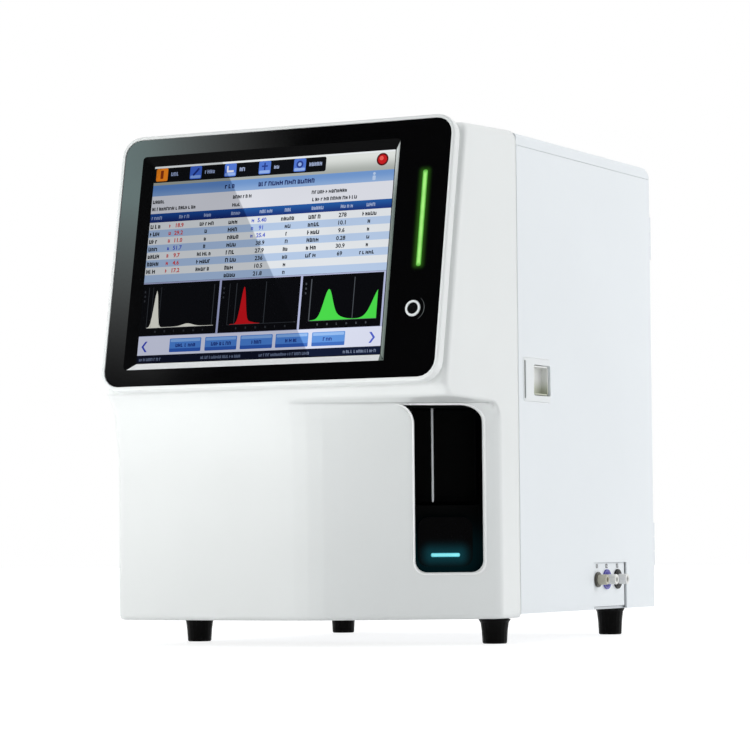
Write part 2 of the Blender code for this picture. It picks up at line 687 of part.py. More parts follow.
def make_rim(width, height, corner):
    edge = [(0, RIM_EDGE), (RIM_EDGE * 0.3, RIM_EDGE * 0.3), (RIM_EDGE, 0)]
    rows = []
    stations = [(inset, -RIM_PROUD + depth) for inset, depth in edge]
    for inset, depth in [(0, RIM_DEPTH - RIM_PROUD)] + stations:
        outline = rounded(width - 2 * inset, height - 2 * inset, corner - inset)
        rows.append([Vector((x, depth, z)) for x, z in outline])
    rim = loft("display_rim", rows, WHITE)
    neck_width = width - 2 * GROOVE_INSET
    neck_height = height - 2 * GROOVE_INSET
    neck_corner = corner - GROOVE_INSET
    neck = rounded(neck_width, neck_height, neck_corner)
    fuse(rim, prism("neck_outer", neck, RIM_DEPTH / 2, HEAD_SET_BACK - GAP, WHITE, "Y"))
    hole_inset = GROOVE_INSET + NECK_WALL
    hollow = rounded(width - 2 * hole_inset, height - 2 * hole_inset, corner - hole_inset)
    cut(rim, prism("neck_bore", hollow, -OVERRUN, HEAD_SET_BACK + OVERRUN, WHITE, "Y"))
    seat = rounded(GLASS_WIDTH + 2 * GAP, GLASS_HEIGHT + 2 * GAP, GLASS_CORNER + GAP)
    cut(rim, prism("rim_mouth", seat, -OVERRUN, FASCIA_THICKNESS + GAP, WHITE, "Y"))
    step = rounded(GLASS_WIDTH - 2 * RIM_LIP, GLASS_HEIGHT - 2 * RIM_LIP, GLASS_CORNER - RIM_LIP)
    cut(rim, prism("rim_step", step, -OVERRUN, RIM_DEPTH / 2 + RIM_LIP, WHITE, "Y"))
    return rim


def make_fascia():
    fascia = prism("display_fascia", rounded(GLASS_WIDTH, GLASS_HEIGHT, GLASS_CORNER), 0,
                   FASCIA_THICKNESS, BLACK_GLOSS, "Y")
    hole = rounded(SCREEN_WIDTH, SCREEN_HEIGHT, GAP * 4, (SCREEN_X, SCREEN_Z))
    cut(fascia, prism("screen_hole", hole, -OVERRUN, OVERRUN, BLACK_GLOSS, "Y"))
    rows = []
    for grow_share in (0, 2):
        width = SCREEN_WIDTH + (BEZEL_LEFT + BEZEL_RIGHT) * grow_share
        height = SCREEN_HEIGHT + (BEZEL_BOTTOM + BEZEL_TOP) * grow_share
        middle_x = SCREEN_X + (BEZEL_RIGHT - BEZEL_LEFT) / 2 * grow_share
        middle_z = SCREEN_Z + (BEZEL_TOP - BEZEL_BOTTOM) / 2 * grow_share
        corner = GAP * 4 + (BEZEL_CORNER - GAP * 4) * grow_share
        depth = SCREEN_SET_BACK * (1 - grow_share)
        outline = rounded(width, height, corner, (middle_x, middle_z))
        rows.append([Vector((x, depth, z)) for x, z in outline])
    cut(fascia, loft("screen_bevel", rows, BLACK_GLOSS))
    slot = rounded(LIGHT_BAR_WIDTH + 2 * GAP, LIGHT_BAR_HEIGHT + 2 * GAP, LIGHT_BAR_WIDTH / 2,
                   (LIGHT_BAR_X, LIGHT_BAR_Z))
    cut(fascia, prism("light_slot", slot, -OVERRUN, OVERRUN, BLACK_GLOSS, "Y"))
    cut(fascia, rod("button_hole", BUTTON_RING_RADIUS + GAP, -OVERRUN, OVERRUN, (BUTTON_X, 0, BUTTON_Z),
                    BLACK_GLOSS, "Y"))
    return fascia


def make_lcd_tray(lcd_back):
    """Sheet tray behind the screen module, seated on the head's front wall."""
    front = lcd_back + GAP
    back = HEAD_SET_BACK - GAP
    width = SCREEN_WIDTH + 2 * (LCD_MARGIN + TRAY_FLANGE)
    height = SCREEN_HEIGHT + 2 * LCD_MARGIN
    outline = rounded(width, height, TRAY_FLANGE / 3, (SCREEN_X, SCREEN_Z), 2)
    tray = prism("lcd_tray", outline, front, back, ZINC, "Y")
    hollow = rounded(SCREEN_WIDTH, SCREEN_HEIGHT, TRAY_FLANGE / 3, (SCREEN_X, SCREEN_Z), 2)
    cut(tray, prism("tray_hollow", hollow, front + (back - front) / 3, back + OVERRUN, ZINC, "Y"))
    return tray


def make_button():
    """Silver ring with a closed back, and the push cap inside it."""
    place = (BUTTON_X, 0, BUTTON_Z)
    inner = BUTTON_RING_RADIUS - BUTTON_RING_WALL
    flange = BUTTON_RING_RADIUS + BUTTON_RING_WALL
    rear = FASCIA_THICKNESS + GAP
    ring_outline = [(inner, -GAP), (BUTTON_RING_RADIUS - GAP, -GAP), (BUTTON_RING_RADIUS, GAP),
                    (BUTTON_RING_RADIUS, rear), (flange, rear), (flange, HEAD_SET_BACK - GAP),
                    (inner, HEAD_SET_BACK - GAP)]
    ring = turned("button_ring", ring_outline, place, STEEL, "Y")
    cap = inner - RUNNING_GAP / 2
    cap_profile = [(0, 0), (cap - GAP, 0), (cap, GAP), (cap, BUTTON_DEPTH), (0, BUTTON_DEPTH)]
    button = turned("standby_button", cap_profile, place, BLACK_GLOSS, "Y")
    set_origin(button, place)
    back = HEAD_SET_BACK - GAP
    fuse(ring, rod("button_socket", inner + GAP, back - PLATE, back, place, STEEL, "Y"))
    return ring, button


# Sample bay pieces stand in a frame on the slanted wall, in the middle of the window
def make_bay_liner(bay):
    middle = (WINDOW_LEFT + WINDOW_RIGHT) / 2
    half = middle - WINDOW_RIGHT + LINER_MARGIN
    front = SHELL_WALL + LINER_SET_BACK
    back = front + LINER_DEPTH
    bottom = WINDOW_BOTTOM_Z - LINER_SILL
    top = CREASE_Z - LINER_WALL
    liner = box("bay_liner", (-half, front, bottom), (half, back, top), BLACK_MATTE)
    inside = half - LINER_WALL
    deep = back - LINER_WALL
    shelf = back - KEY_SHELF_DEPTH
    profile = [(front - OVERRUN, bottom + LINER_WALL), (shelf, bottom + LINER_WALL),
               (shelf, KEY_SHELF_TOP_Z), (deep, KEY_SHELF_TOP_Z + GAP * 10),
               (deep, top - LINER_WALL), (front - OVERRUN, top - LINER_WALL)]
    cut(liner, prism("liner_hollow", profile, -inside, inside, BLACK_MATTE, "X"))
    slot_centre = (PROBE_X, PROBE_INSET + front)
    slot = rounded(LINER_ROOF_SLOT, LINER_ROOF_SLOT, LINER_ROOF_SLOT / 3, slot_centre)
    cut(liner, prism("liner_slot", slot, top - OVERRUN, top + OVERRUN, BLACK_MATTE))
    stem_hole = rod("liner_stem_hole", KEY_STEM_RADIUS + RUNNING_GAP, shelf - OVERRUN,
                    back + OVERRUN, (KEY_LIGHT_X, 0, KEY_CENTRE_Z), BLACK_MATTE, "Y")
    cut(liner, stem_hole)
    ride_on(bay, liner, stem_hole, bpy.data.objects["liner_hollow"], bpy.data.objects["liner_slot"])
    return shelf, back


def make_aspirate_key(bay, shelf):
    """Black key plate on a stem through the shelf, with a light bar let into its face."""
    key_back = shelf - KEY_TRAVEL - GAP
    face = key_back - KEY_DEPTH
    outline = rounded(KEY_WIDTH, KEY_HEIGHT, KEY_CORNER, (KEY_LIGHT_X, KEY_CENTRE_Z))
    key = prism("aspirate_key", outline, face, key_back, BLACK_GLOSS, "Y")
    stem = rod("key_stem", KEY_STEM_RADIUS, key_back - KEY_DEPTH / 2, shelf + KEY_SHELF_DEPTH / 2,
               (KEY_LIGHT_X, 0, KEY_CENTRE_Z), BLACK_GLOSS, "Y")
    fuse(key, stem)
    slot = rounded(KEY_LIGHT_WIDTH + 2 * GAP, KEY_LIGHT_HEIGHT + 2 * GAP, KEY_LIGHT_HEIGHT / 2,
                   (KEY_LIGHT_X, KEY_LIGHT_Z))
    cut(key, prism("key_light_slot", slot, face - OVERRUN, face + KEY_LIGHT_DEPTH + GAP, BLACK_GLOSS, "Y"))
    light = rounded(KEY_LIGHT_WIDTH, KEY_LIGHT_HEIGHT, KEY_LIGHT_HEIGHT / 2 - GAP,
                    (KEY_LIGHT_X, KEY_LIGHT_Z))
    lamp = prism("key_light", light, face, face + KEY_LIGHT_DEPTH, CYAN_LIGHT, "Y")
    ride_on(bay, key, lamp, bpy.data.objects["key_stem"], bpy.data.objects["key_light_slot"])


def make_probe_lift(bay, back):
    """Upright frame behind the bay with rail, screw, motor, carriage, probe and wash block."""
    face = back + GAP
    frame = box("probe_frame", (-FRAME_WIDTH / 2, face, BASE_SEAT_Z),
                (FRAME_WIDTH / 2, face + PLATE, MOTOR_SHELF_Z + PLATE), ZINC)
    front = SHELL_WALL + LINER_SET_BACK
    probe_y = front + PROBE_INSET
    screw_y = face - RAIL_DEPTH - CARRIAGE_DEPTH
    shelf_front = screw_y - MOTOR_WIDTH / 2
    overlap = PLATE / 2
    motor_low = SCREW_X - MOTOR_WIDTH / 2
    motor_high = SCREW_X + MOTOR_WIDTH / 2
    shelf = box("motor_shelf", (motor_low, shelf_front, MOTOR_SHELF_Z),
                (motor_high, face + overlap, MOTOR_SHELF_Z + PLATE), ZINC)
    fuse(frame, shelf)
    lower = box("bearing_shelf", (motor_low, screw_y - SCREW_RADIUS * 3, BEARING_SHELF_Z),
                (motor_high, face + overlap, BEARING_SHELF_Z + PLATE), ZINC)
    fuse(frame, lower)
    foot = box("frame_foot", (-FRAME_WIDTH / 2, face + overlap, BASE_SEAT_Z),
               (FRAME_WIDTH / 2, face + MOTOR_WIDTH / 2, BASE_SEAT_Z + PLATE), ZINC)
    fuse(frame, foot)
    bore = rod("frame_bore", SCREW_RADIUS + RUNNING_GAP, BEARING_SHELF_Z - OVERRUN, MOTOR_SHELF_Z + OVERRUN,
               (SCREW_X, screw_y, 0), ZINC)
    cut(frame, bore)
    rail = box("guide_rail", (PROBE_X - RAIL_WIDTH / 2, face - GAP - RAIL_DEPTH, RAIL_BOTTOM_Z),
               (PROBE_X + RAIL_WIDTH / 2, face - GAP, MOTOR_SHELF_Z - RAIL_TO_SHELF), STEEL)
    screw = rod("lead_screw", SCREW_RADIUS, BEARING_SHELF_Z - PLATE, MOTOR_SHELF_Z + PLATE * 2,
                (SCREW_X, screw_y, 0), STEEL, segments=20)
    motor_bottom = MOTOR_SHELF_Z + PLATE + GAP
    motor_outline = rounded(MOTOR_WIDTH, MOTOR_WIDTH, MOTOR_WIDTH / 8, (SCREW_X, screw_y), 2)
    motor = prism("probe_motor", motor_outline, motor_bottom, motor_bottom + MOTOR_HEIGHT, BLACK_MATTE)
    cut(motor, rod("motor_bore", SCREW_RADIUS + RUNNING_GAP, motor_bottom - OVERRUN,
                   motor_bottom + PLATE * 2 + GAP, (SCREW_X, screw_y, 0), BLACK_MATTE))
    make_carriage(bay, face, probe_y, screw_y)
    wash = make_wash_block(probe_y)
    ride_on(bay, frame, shelf, lower, foot, bore, rail, screw, motor, wash, bpy.data.objects["motor_bore"])
    set_origin(screw, (SCREW_X, screw_y, BEARING_SHELF_Z))


def make_carriage(bay, face, probe_y, screw_y):
    low = CARRIAGE_Z
    high = CARRIAGE_Z + CARRIAGE_HEIGHT
    rail_front = face - GAP - RAIL_DEPTH
    block_front = rail_front - CARRIAGE_DEPTH
    block = box("probe_carriage", (PROBE_X - CARRIAGE_WIDTH / 2, block_front, low),
                (PROBE_X + CARRIAGE_WIDTH / 2, face - GAP - RUNNING_GAP, high), ALUMINIUM)
    nut = rod("carriage_nut", SCREW_RADIUS * 3, low, high, (SCREW_X, screw_y, 0), ALUMINIUM)
    arm_top = low + CARRIAGE_HEIGHT / 2
    arm = box("carriage_arm", (PROBE_X - ARM_WIDTH / 2, probe_y, low),
              (PROBE_X + ARM_WIDTH / 2, block_front + CARRIAGE_DEPTH / 2, arm_top), ALUMINIUM)
    holder = rod("carriage_holder", ARM_WIDTH / 2, low, arm_top, (PROBE_X, probe_y, 0), ALUMINIUM)
    for piece in (nut, arm, holder):
        fuse(block, piece)
    channel = box("carriage_channel", (PROBE_X - RAIL_WIDTH / 2 - RUNNING_GAP, rail_front - RUNNING_GAP,
                                       low - OVERRUN),
                  (PROBE_X + RAIL_WIDTH / 2 + RUNNING_GAP, face, high + OVERRUN), ALUMINIUM)
    screw_bore = rod("nut_bore", SCREW_RADIUS + RUNNING_GAP / 2, low - OVERRUN, high + OVERRUN,
                     (SCREW_X, screw_y, 0), ALUMINIUM, segments=20)
    probe_bore = rod("probe_bore", PROBE_RADIUS + GAP, low - OVERRUN, high + OVERRUN,
                     (PROBE_X, probe_y, 0), ALUMINIUM, segments=16)
    for piece in (channel, screw_bore, probe_bore):
        cut(block, piece)
    tip = PROBE_TIP_Z
    top = high + ARM_WIDTH
    probe_profile = [(0, tip), (PROBE_RADIUS / 2, tip), (PROBE_RADIUS, tip + PROBE_RADIUS * 2),
                     (PROBE_RADIUS, top), (0, top)]
    probe = turned("sample_probe", probe_profile, (PROBE_X, probe_y, 0), STEEL, segments=16)
    ride_on(bay, block, probe, nut, arm, holder, channel, screw_bore, probe_bore)


def make_wash_block(probe_y):
    low = CREASE_Z - LINER_WALL + GAP
    high = low + WASH_HEIGHT
    inner = PROBE_RADIUS + RUNNING_GAP
    flange = WASH_RADIUS * 1.4
    profile = [(inner, low), (flange, low), (flange, low + PLATE), (WASH_RADIUS, low + PLATE),
               (WASH_RADIUS, high), (inner, high)]
    return turned("wash_block", profile, (PROBE_X, probe_y, 0), CLEAR)


# Enclosure sheet metal
def make_base():
    """Base plate with a tongue that runs forward under the front shell."""
    inner = HALF_WIDTH - SHEET - GAP
    front = SEAM_Y - RECESS_TO_SEAM + OVERRUN
    plate = box("base_plate", (-inner, SEAM_Y + GAP, BASE_Z),
                (inner - DOOR_GAP, REAR_Y - SHEET - GAP, PLATE_TOP_Z), ZINC)
    tongue_half = HALF_WIDTH - SHELL_WALL - SHELL_BOTTOM_RADIUS - GAP
    tongue = box("base_tongue", (-tongue_half, front, BASE_Z),
                 (tongue_half, SEAM_Y + OVERRUN, PLATE_TOP_Z), ZINC)
    fuse(plate, tongue)


def lid_solid(name, inset, low, front):
    """Lid's outer form, or its hollow when inset, with an arc along the rear top edge and a small
    one along each side."""
    half = HALF_WIDTH - inset
    rear = REAR_Y - inset
    top = ENCLOSURE_TOP_Z - inset
    radius = LID_REAR_RADIUS - inset
    places = [(rear, low), (rear, top - radius)]
    for step in range(1, 7):
        angle = math.pi / 2 * step / 6
        places.append((rear - radius * (1 - math.cos(angle)), top - radius * (1 - math.sin(angle))))
    places += [(front, top), (front, low)]
    edge = LID_SIDE_RADIUS - inset
    rows = []
    for side, share in ((-1, 1), (-1, 0.7), (-1, 0), (1, 0), (1, 0.7), (1, 1)):
        drawn = edge * (1 - math.sqrt(1 - share ** 2))
        row = []
        for y, z in places:
            rise_share = max(z - top + radius, 0) / radius
            row.append(Vector((side * (half - edge * (1 - share)), y, z - drawn * rise_share)))
        rows.append(row)
    return loft(name, rows, PAINT)


def make_lid():
    """Top cover pressed from one sheet, with side and rear skirts and rounded edges."""
    low = ENCLOSURE_TOP_Z - SKIRT_HEIGHT
    lid = lid_solid("top_cover", 0, low, SEAM_Y + GAP)
    cut(lid, lid_solid("lid_hollow", SHEET, low - OVERRUN, SEAM_Y - OVERRUN))


def make_left_panel():
    side = -HALF_WIDTH
    low = BASE_Z
    panel = box("left_panel", (side, SEAM_Y + DOOR_GAP, low), (side + SHEET, REAR_Y, PANEL_TOP_Z),
                PAINT)
    middle = (SEAM_Y + REAR_Y) / 2
    for index in range(LOUVRE_COUNT):
        centre = (middle, BASE_Z + LOUVRE_RISE + LOUVRE_PITCH * index)
        slot = rounded(LOUVRE_LENGTH, LOUVRE_HEIGHT, LOUVRE_HEIGHT / 2 - GAP, centre, 1)
        cut(panel, prism(f"louvre_{index + 1}", slot, side - OVERRUN, side + OVERRUN, PAINT, "X"))


def make_rear_panel():
    left = -HALF_WIDTH + SHEET + GAP
    right = HINGE_X - HINGE_LEAF / 2 - RUNNING_GAP
    panel = box("rear_panel", (left, REAR_Y - SHEET, BASE_Z), (right, REAR_Y, PANEL_TOP_Z), PAINT)
    behind = REAR_Y - OVERRUN
    beyond = REAR_Y + OVERRUN
    cut(panel, rod("fan_hole", FAN_BORE_RADIUS, behind, beyond, (FAN_X, 0, FAN_Z), PAINT, "Y"))
    half = INLET_WIDTH / 2 + GAP
    rise = INLET_HEIGHT / 2 + GAP
    cut(panel, box("inlet_hole", (INLET_X - half, behind, INLET_Z - rise),
                   (INLET_X + half, beyond, INLET_Z + rise), PAINT))
    half = SOCKET_BLOCK_WIDTH / 2 - PANEL_INSET
    rise = SOCKET_BLOCK_HEIGHT / 2 - PANEL_INSET
    cut(panel, box("socket_hole", (SOCKET_BLOCK_X - half, behind, SOCKET_BLOCK_Z - rise),
                   (SOCKET_BLOCK_X + half, beyond, SOCKET_BLOCK_Z + rise), PAINT))


def make_posts():
    """Front and rear posts on the door side, standing on the base plate."""
    top = PANEL_TOP_Z
    front = SEAM_Y + POST_DEPTH / 4
    for name, start, direction in (("door_post", front, 1), ("hinge_post", REAR_Y - SHEET - GAP, -1)):
        low_y = min(start, start + direction * POST_DEPTH)
        high_y = max(start, start + direction * POST_DEPTH)
        post = box(name, (POST_X - POST_WIDTH, low_y, BASE_SEAT_Z), (POST_X, high_y, top), ZINC)
        if direction == 1:
            inner_y = (low_y + SHEET, high_y + OVERRUN)
        else:
            inner_y = (low_y - OVERRUN, high_y - SHEET)
        hollow = box(name + "_hollow", (POST_X - POST_WIDTH - OVERRUN, inner_y[0], BASE_SEAT_Z - OVERRUN),
                     (POST_X - SHEET, inner_y[1], top + OVERRUN), ZINC)
        cut(post, hollow)
    strike_y = front + POST_DEPTH
    strike = box("latch_strike", (POST_X - POST_WIDTH, strike_y - SHEET, LATCH_Z - LATCH_BOLT_HEIGHT),
                 (POST_X - SHEET / 2, strike_y, LATCH_Z + LATCH_BOLT_HEIGHT), ZINC)
    fuse(bpy.data.objects["door_post"], strike)


def make_door():
    """Side door: a flat sheet with front and top returns, notched round the port plate."""
    side = HALF_WIDTH
    front = SEAM_Y + DOOR_GAP
    low = BASE_Z
    door = box("side_door", (side - SHEET, front, low), (side, REAR_Y, PANEL_TOP_Z), PAINT)
    flange_x = side - SHEET - DOOR_FLANGE
    front_flange = box("door_front_flange", (flange_x, front, BASE_SEAT_Z + GAP),
                       (side - SHEET / 2, front + SHEET, PANEL_TOP_Z - SHEET), PAINT)
    flange_end = REAR_Y - POST_DEPTH * 2
    top_flange = box("door_top_flange", (flange_x, front, PANEL_TOP_Z - SHEET),
                     (side - SHEET / 2, flange_end, PANEL_TOP_Z), PAINT)
    fuse(door, front_flange)
    fuse(door, top_flange)
    notch = box("door_notch", (side - OVERRUN, SEAM_Y + PORT_PLATE_START, low - OVERRUN),
                (side + OVERRUN, SEAM_Y + PORT_PLATE_END + DOOR_GAP * 2, PORT_PLATE_TOP_Z + DOOR_GAP), PAINT)
    cut(door, notch)
    opening = rounded(LATCH_WIDTH + 2 * GAP, LATCH_HEIGHT + 2 * GAP, LATCH_CORNER,
                      (SEAM_Y + LATCH_Y, LATCH_Z))
    cut(door, prism("door_latch_hole", opening, side - OVERRUN / 2, side + OVERRUN, PAINT, "X"))
    set_origin(door, (HINGE_X, HINGE_Y, BASE_Z))


def make_hinges():
    """Two butt hinges: a fixed plate with two knuckles and the pin, and a door leaf with one."""
    third = HINGE_LENGTH / 3
    for label, z in (("lower", HINGE_LOW_Z), ("upper", HINGE_HIGH_Z)):
        centre = (HINGE_X, HINGE_Y, z)
        plate_y = REAR_Y + GAP
        plate_right = HINGE_X - HINGE_RADIUS / 2
        fixed = box("hinge_plate_" + label, (plate_right - HINGE_PLATE, plate_y, z - HINGE_LENGTH / 2),
                    (plate_right, plate_y + HINGE_LEAF, z + HINGE_LENGTH / 2), STEEL)
        middle_half = third / 2 + GAP
        relief_x = HINGE_X - HINGE_RADIUS - RUNNING_GAP
        cut(fixed, box("hinge_relief_" + label, (relief_x, plate_y - OVERRUN, z - middle_half),
                       (HINGE_X + OVERRUN, plate_y + OVERRUN, z + middle_half), STEEL))
        end = HINGE_LENGTH / 2
        for side, low, high in (("low", -end, -middle_half), ("high", middle_half, end)):
            fuse(fixed, rod(f"knuckle_{label}_{side}", HINGE_RADIUS, low, high, centre, STEEL,
                            segments=SMALL_SEGMENTS))
        pin = HINGE_LENGTH / 2 + HINGE_PIN_RADIUS
        fuse(fixed, rod("pin_" + label, HINGE_PIN_RADIUS, -pin, pin, centre, STEEL, segments=10))
        leaf_x = HALF_WIDTH - SHEET - GAP - HINGE_LEAF
        leaf = box("hinge_leaf_" + label, (leaf_x, REAR_Y - HINGE_PLATE, z - HINGE_LENGTH / 2),
                   (leaf_x + HINGE_LEAF, REAR_Y - SHEET, z + HINGE_LENGTH / 2), STEEL)
        tongue = box("leaf_tongue_" + label, (leaf_x, REAR_Y - HINGE_PLATE / 2, z - third / 2 + GAP),
                     (leaf_x + HINGE_LEAF, HINGE_Y, z + third / 2 - GAP), STEEL)
        fuse(leaf, tongue)
        knuckle_half = third / 2 - GAP
        fuse(leaf, rod("leaf_knuckle_" + label, HINGE_RADIUS, -knuckle_half, knuckle_half, centre,
                       STEEL, segments=SMALL_SEGMENTS))
        cut(leaf, rod("leaf_bore_" + label, HINGE_PIN_RADIUS + GAP, -HINGE_LENGTH, HINGE_LENGTH,
                      centre, STEEL, segments=10))
        set_origin(leaf, (HINGE_X, HINGE_Y, z))


def make_latch():
    """Flush latch in the door: a bezel with a slit, and a finger cup that slides back in it."""
    side = HALF_WIDTH
    centre = (SEAM_Y + LATCH_Y, LATCH_Z)
    bezel = prism("latch_bezel", rounded(LATCH_WIDTH, LATCH_HEIGHT, LATCH_CORNER, centre),
                  side + LATCH_LIP - LATCH_THICKNESS - PLATE, side + LATCH_LIP, LATCH_GREY, "X")
    slit = rounded(SLIT_WIDTH, SLIT_HEIGHT, SLIT_WIDTH / 2 - GAP, (SEAM_Y + SLIT_Y, LATCH_Z), 3)
    cut(bezel, prism("latch_slit", slit, side - LATCH_THICKNESS / 2, side + OVERRUN, LATCH_GREY, "X"))
    cup_width = POCKET_WIDTH + 2 * POCKET_WALL
    cup_height = POCKET_HEIGHT + 2 * POCKET_WALL
    window_width = cup_width + LATCH_TRAVEL + 2 * RUNNING_GAP
    window_centre = (SEAM_Y + POCKET_Y + LATCH_TRAVEL / 2, LATCH_Z)
    window = rounded(window_width, cup_height + 2 * RUNNING_GAP, LATCH_CORNER, window_centre)
    cut(bezel, prism("latch_window", window, side - OVERRUN, side + OVERRUN, LATCH_GREY, "X"))
    cup_centre = (SEAM_Y + POCKET_Y, LATCH_Z)
    cup = prism("latch_slider", rounded(cup_width, cup_height, LATCH_CORNER, cup_centre),
                side - POCKET_DEPTH - POCKET_WALL, side + LATCH_LIP - GAP, LATCH_GREY, "X")
    floor_front = side + LATCH_LIP - POCKET_DEPTH / 2
    floor_rear = side + LATCH_LIP - POCKET_DEPTH
    front_y_edge = cup_centre[0] - POCKET_WIDTH / 2
    rear_y_edge = cup_centre[0] + POCKET_WIDTH / 2
    slope = [(floor_rear, front_y_edge), (side + OVERRUN, front_y_edge), (side + OVERRUN, rear_y_edge),
             (floor_front, rear_y_edge)]
    cut(cup, prism("latch_pocket", slope, LATCH_Z - POCKET_HEIGHT / 2, LATCH_Z + POCKET_HEIGHT / 2,
                   LATCH_GREY))
    bolt_back = cup_centre[0] - cup_width / 2
    bolt_x = side - POCKET_DEPTH
    bolt_rise = LATCH_BOLT_HEIGHT / 2
    fuse(cup, box("latch_bolt", (bolt_x - POCKET_WALL, bolt_back - LATCH_BOLT_LENGTH, LATCH_Z - bolt_rise),
                  (bolt_x + POCKET_WALL, bolt_back + POCKET_WALL, LATCH_Z + bolt_rise), LATCH_GREY))


def make_ports():
    """Fixed plate in the door's notch, with three ports standing out of it."""
    face = HALF_WIDTH - SHEET
    start = SEAM_Y + PORT_PLATE_START + DOOR_GAP
    end = SEAM_Y + PORT_PLATE_END
    plate = box("port_plate", (face - SHEET, start, BASE_SEAT_Z), (face, end, PORT_PLATE_TOP_Z), PAINT)
    foot = box("port_plate_foot", (face - SHEET - MOTOR_WIDTH / 2, start, BASE_SEAT_Z),
               (face - SHEET / 2, end, BASE_SEAT_Z + SHEET), PAINT)
    fuse(plate, foot)
    names = ("port_signal", "port_waste", "port_diluent")
    looks = (STEEL, BLUE, BLACK_MATTE)
    for name, place, look in zip(names, PORT_TO_END, looks):
        centre = (0, end - place, PORT_Z)
        seat = face + GAP
        stem = PORT_BARREL_RADIUS + GAP
        cut(plate, rod(name + "_hole", stem, face - OVERRUN, face + OVERRUN, centre, PAINT, "X",
                       SMALL_SEGMENTS))
        flange = seat + SHEET
        end_x = seat + PORT_BARREL_LENGTH
        inner_x = face - SHEET - PORT_BARREL_LENGTH / 2
        bore_end = seat - SHEET
        profile = [(0, inner_x), (PORT_BARREL_RADIUS, inner_x), (PORT_BARREL_RADIUS, seat),
                   (PORT_COLLAR_RADIUS, seat), (PORT_COLLAR_RADIUS, flange),
                   (PORT_BARREL_RADIUS, flange), (PORT_BARREL_RADIUS, end_x - GAP),
                   (PORT_BARREL_RADIUS - GAP, end_x), (PORT_BORE_RADIUS, end_x),
                   (PORT_BORE_RADIUS, bore_end), (0, bore_end)]
        turned(name, profile, centre, look, "X", SMALL_SEGMENTS)


# Rear fittings
def make_fan():
    back = REAR_Y - SHEET - GAP
    front = back - FAN_DEPTH
    centre = (FAN_X, 0, FAN_Z)
    outline = rounded(FAN_SIZE, FAN_SIZE, FAN_CORNER, (FAN_X, FAN_Z))
    frame = prism("fan_frame", outline, front, back, BLACK_MATTE, "Y")
    cut(frame, rod("fan_bore", FAN_BORE_RADIUS, front - OVERRUN, back + OVERRUN, centre, BLACK_MATTE, "Y"))
    strut = GUARD_WIRE * 3
    reach = FAN_SIZE / 2 - FAN_CORNER / 2
    hub_back = front + PLATE
    for name, half, rise in (("across", reach, strut), ("upright", strut, reach)):
        fuse(frame, box("fan_strut_" + name, (FAN_X - half, front, FAN_Z - rise),
                        (FAN_X + half, hub_back, FAN_Z + rise), BLACK_MATTE))
    fuse(frame, rod("fan_boss", FAN_HUB_RADIUS, front, hub_back, centre, BLACK_MATTE, "Y"))
    make_rotor(centre, hub_back + GAP, back - PLATE)
    make_fan_guard(centre)


def make_rotor(centre, front, back):
    """Hub with swept blades, each lofted from three thin sections."""
    rotor = rod("fan_rotor", FAN_HUB_RADIUS, front, back, centre, BLACK_MATTE, "Y")
    tip = FAN_BORE_RADIUS - RUNNING_GAP * 2
    sweep = 0.22
    half_thickness = 0.03
    for index in range(FAN_BLADES):
        turn = 2 * math.pi * index / FAN_BLADES
        corners = ((front + PLATE, -sweep - half_thickness), (front + PLATE, half_thickness - sweep),
                   (back - GAP, sweep + half_thickness), (back - GAP, sweep - half_thickness))
        rows = []
        for radius in (FAN_HUB_RADIUS * 0.8, FAN_BORE_RADIUS * 0.7, tip):
            rows.append([Vector((FAN_X + radius * math.cos(turn + angle), y,
                                 FAN_Z + radius * math.sin(turn + angle))) for y, angle in corners])
        fuse(rotor, loft(f"fan_blade_{index + 1}", rows, BLACK_MATTE))
    set_origin(rotor, (FAN_X, (front + back) / 2, FAN_Z))


def make_fan_guard(centre):
    face = REAR_Y + GAP
    crown = face + GUARD_WIRE * 2
    outer = FAN_BORE_RADIUS - GUARD_WIRE
    guard = turned("fan_guard", ring_profile(outer, face, GUARD_WIRE * 2), centre, STEEL, "Y", 20)
    for index in range(1, GUARD_RINGS):
        profile = ring_profile(outer * index / GUARD_RINGS, crown - GUARD_WIRE, GUARD_WIRE * 2)
        fuse(guard, turned(f"guard_ring_{index}", profile, centre, STEEL, "Y", 20))
    reach = FAN_SIZE / 2 - FAN_CORNER / 2
    wire = GUARD_WIRE
    for index in range(2):
        bar = rounded(2 * reach * math.sqrt(2) * 0.9, 2 * wire, wire / 2, (0, 0), 2)
        strut = prism(f"guard_bar_{index + 1}", bar, face, crown - GUARD_WIRE / 2, STEEL, "Y")
        strut.data.transform(Matrix.Rotation(math.pi / 4 + math.pi / 2 * index, 4, "Y"))
        strut.location = (FAN_X, 0, FAN_Z)
        fuse(guard, strut)


def ring_profile(radius, low, height):
    inner = radius - GUARD_WIRE
    outer = radius + GUARD_WIRE
    return [(inner, low), (outer, low), (outer, low + height), (inner, low + height)]


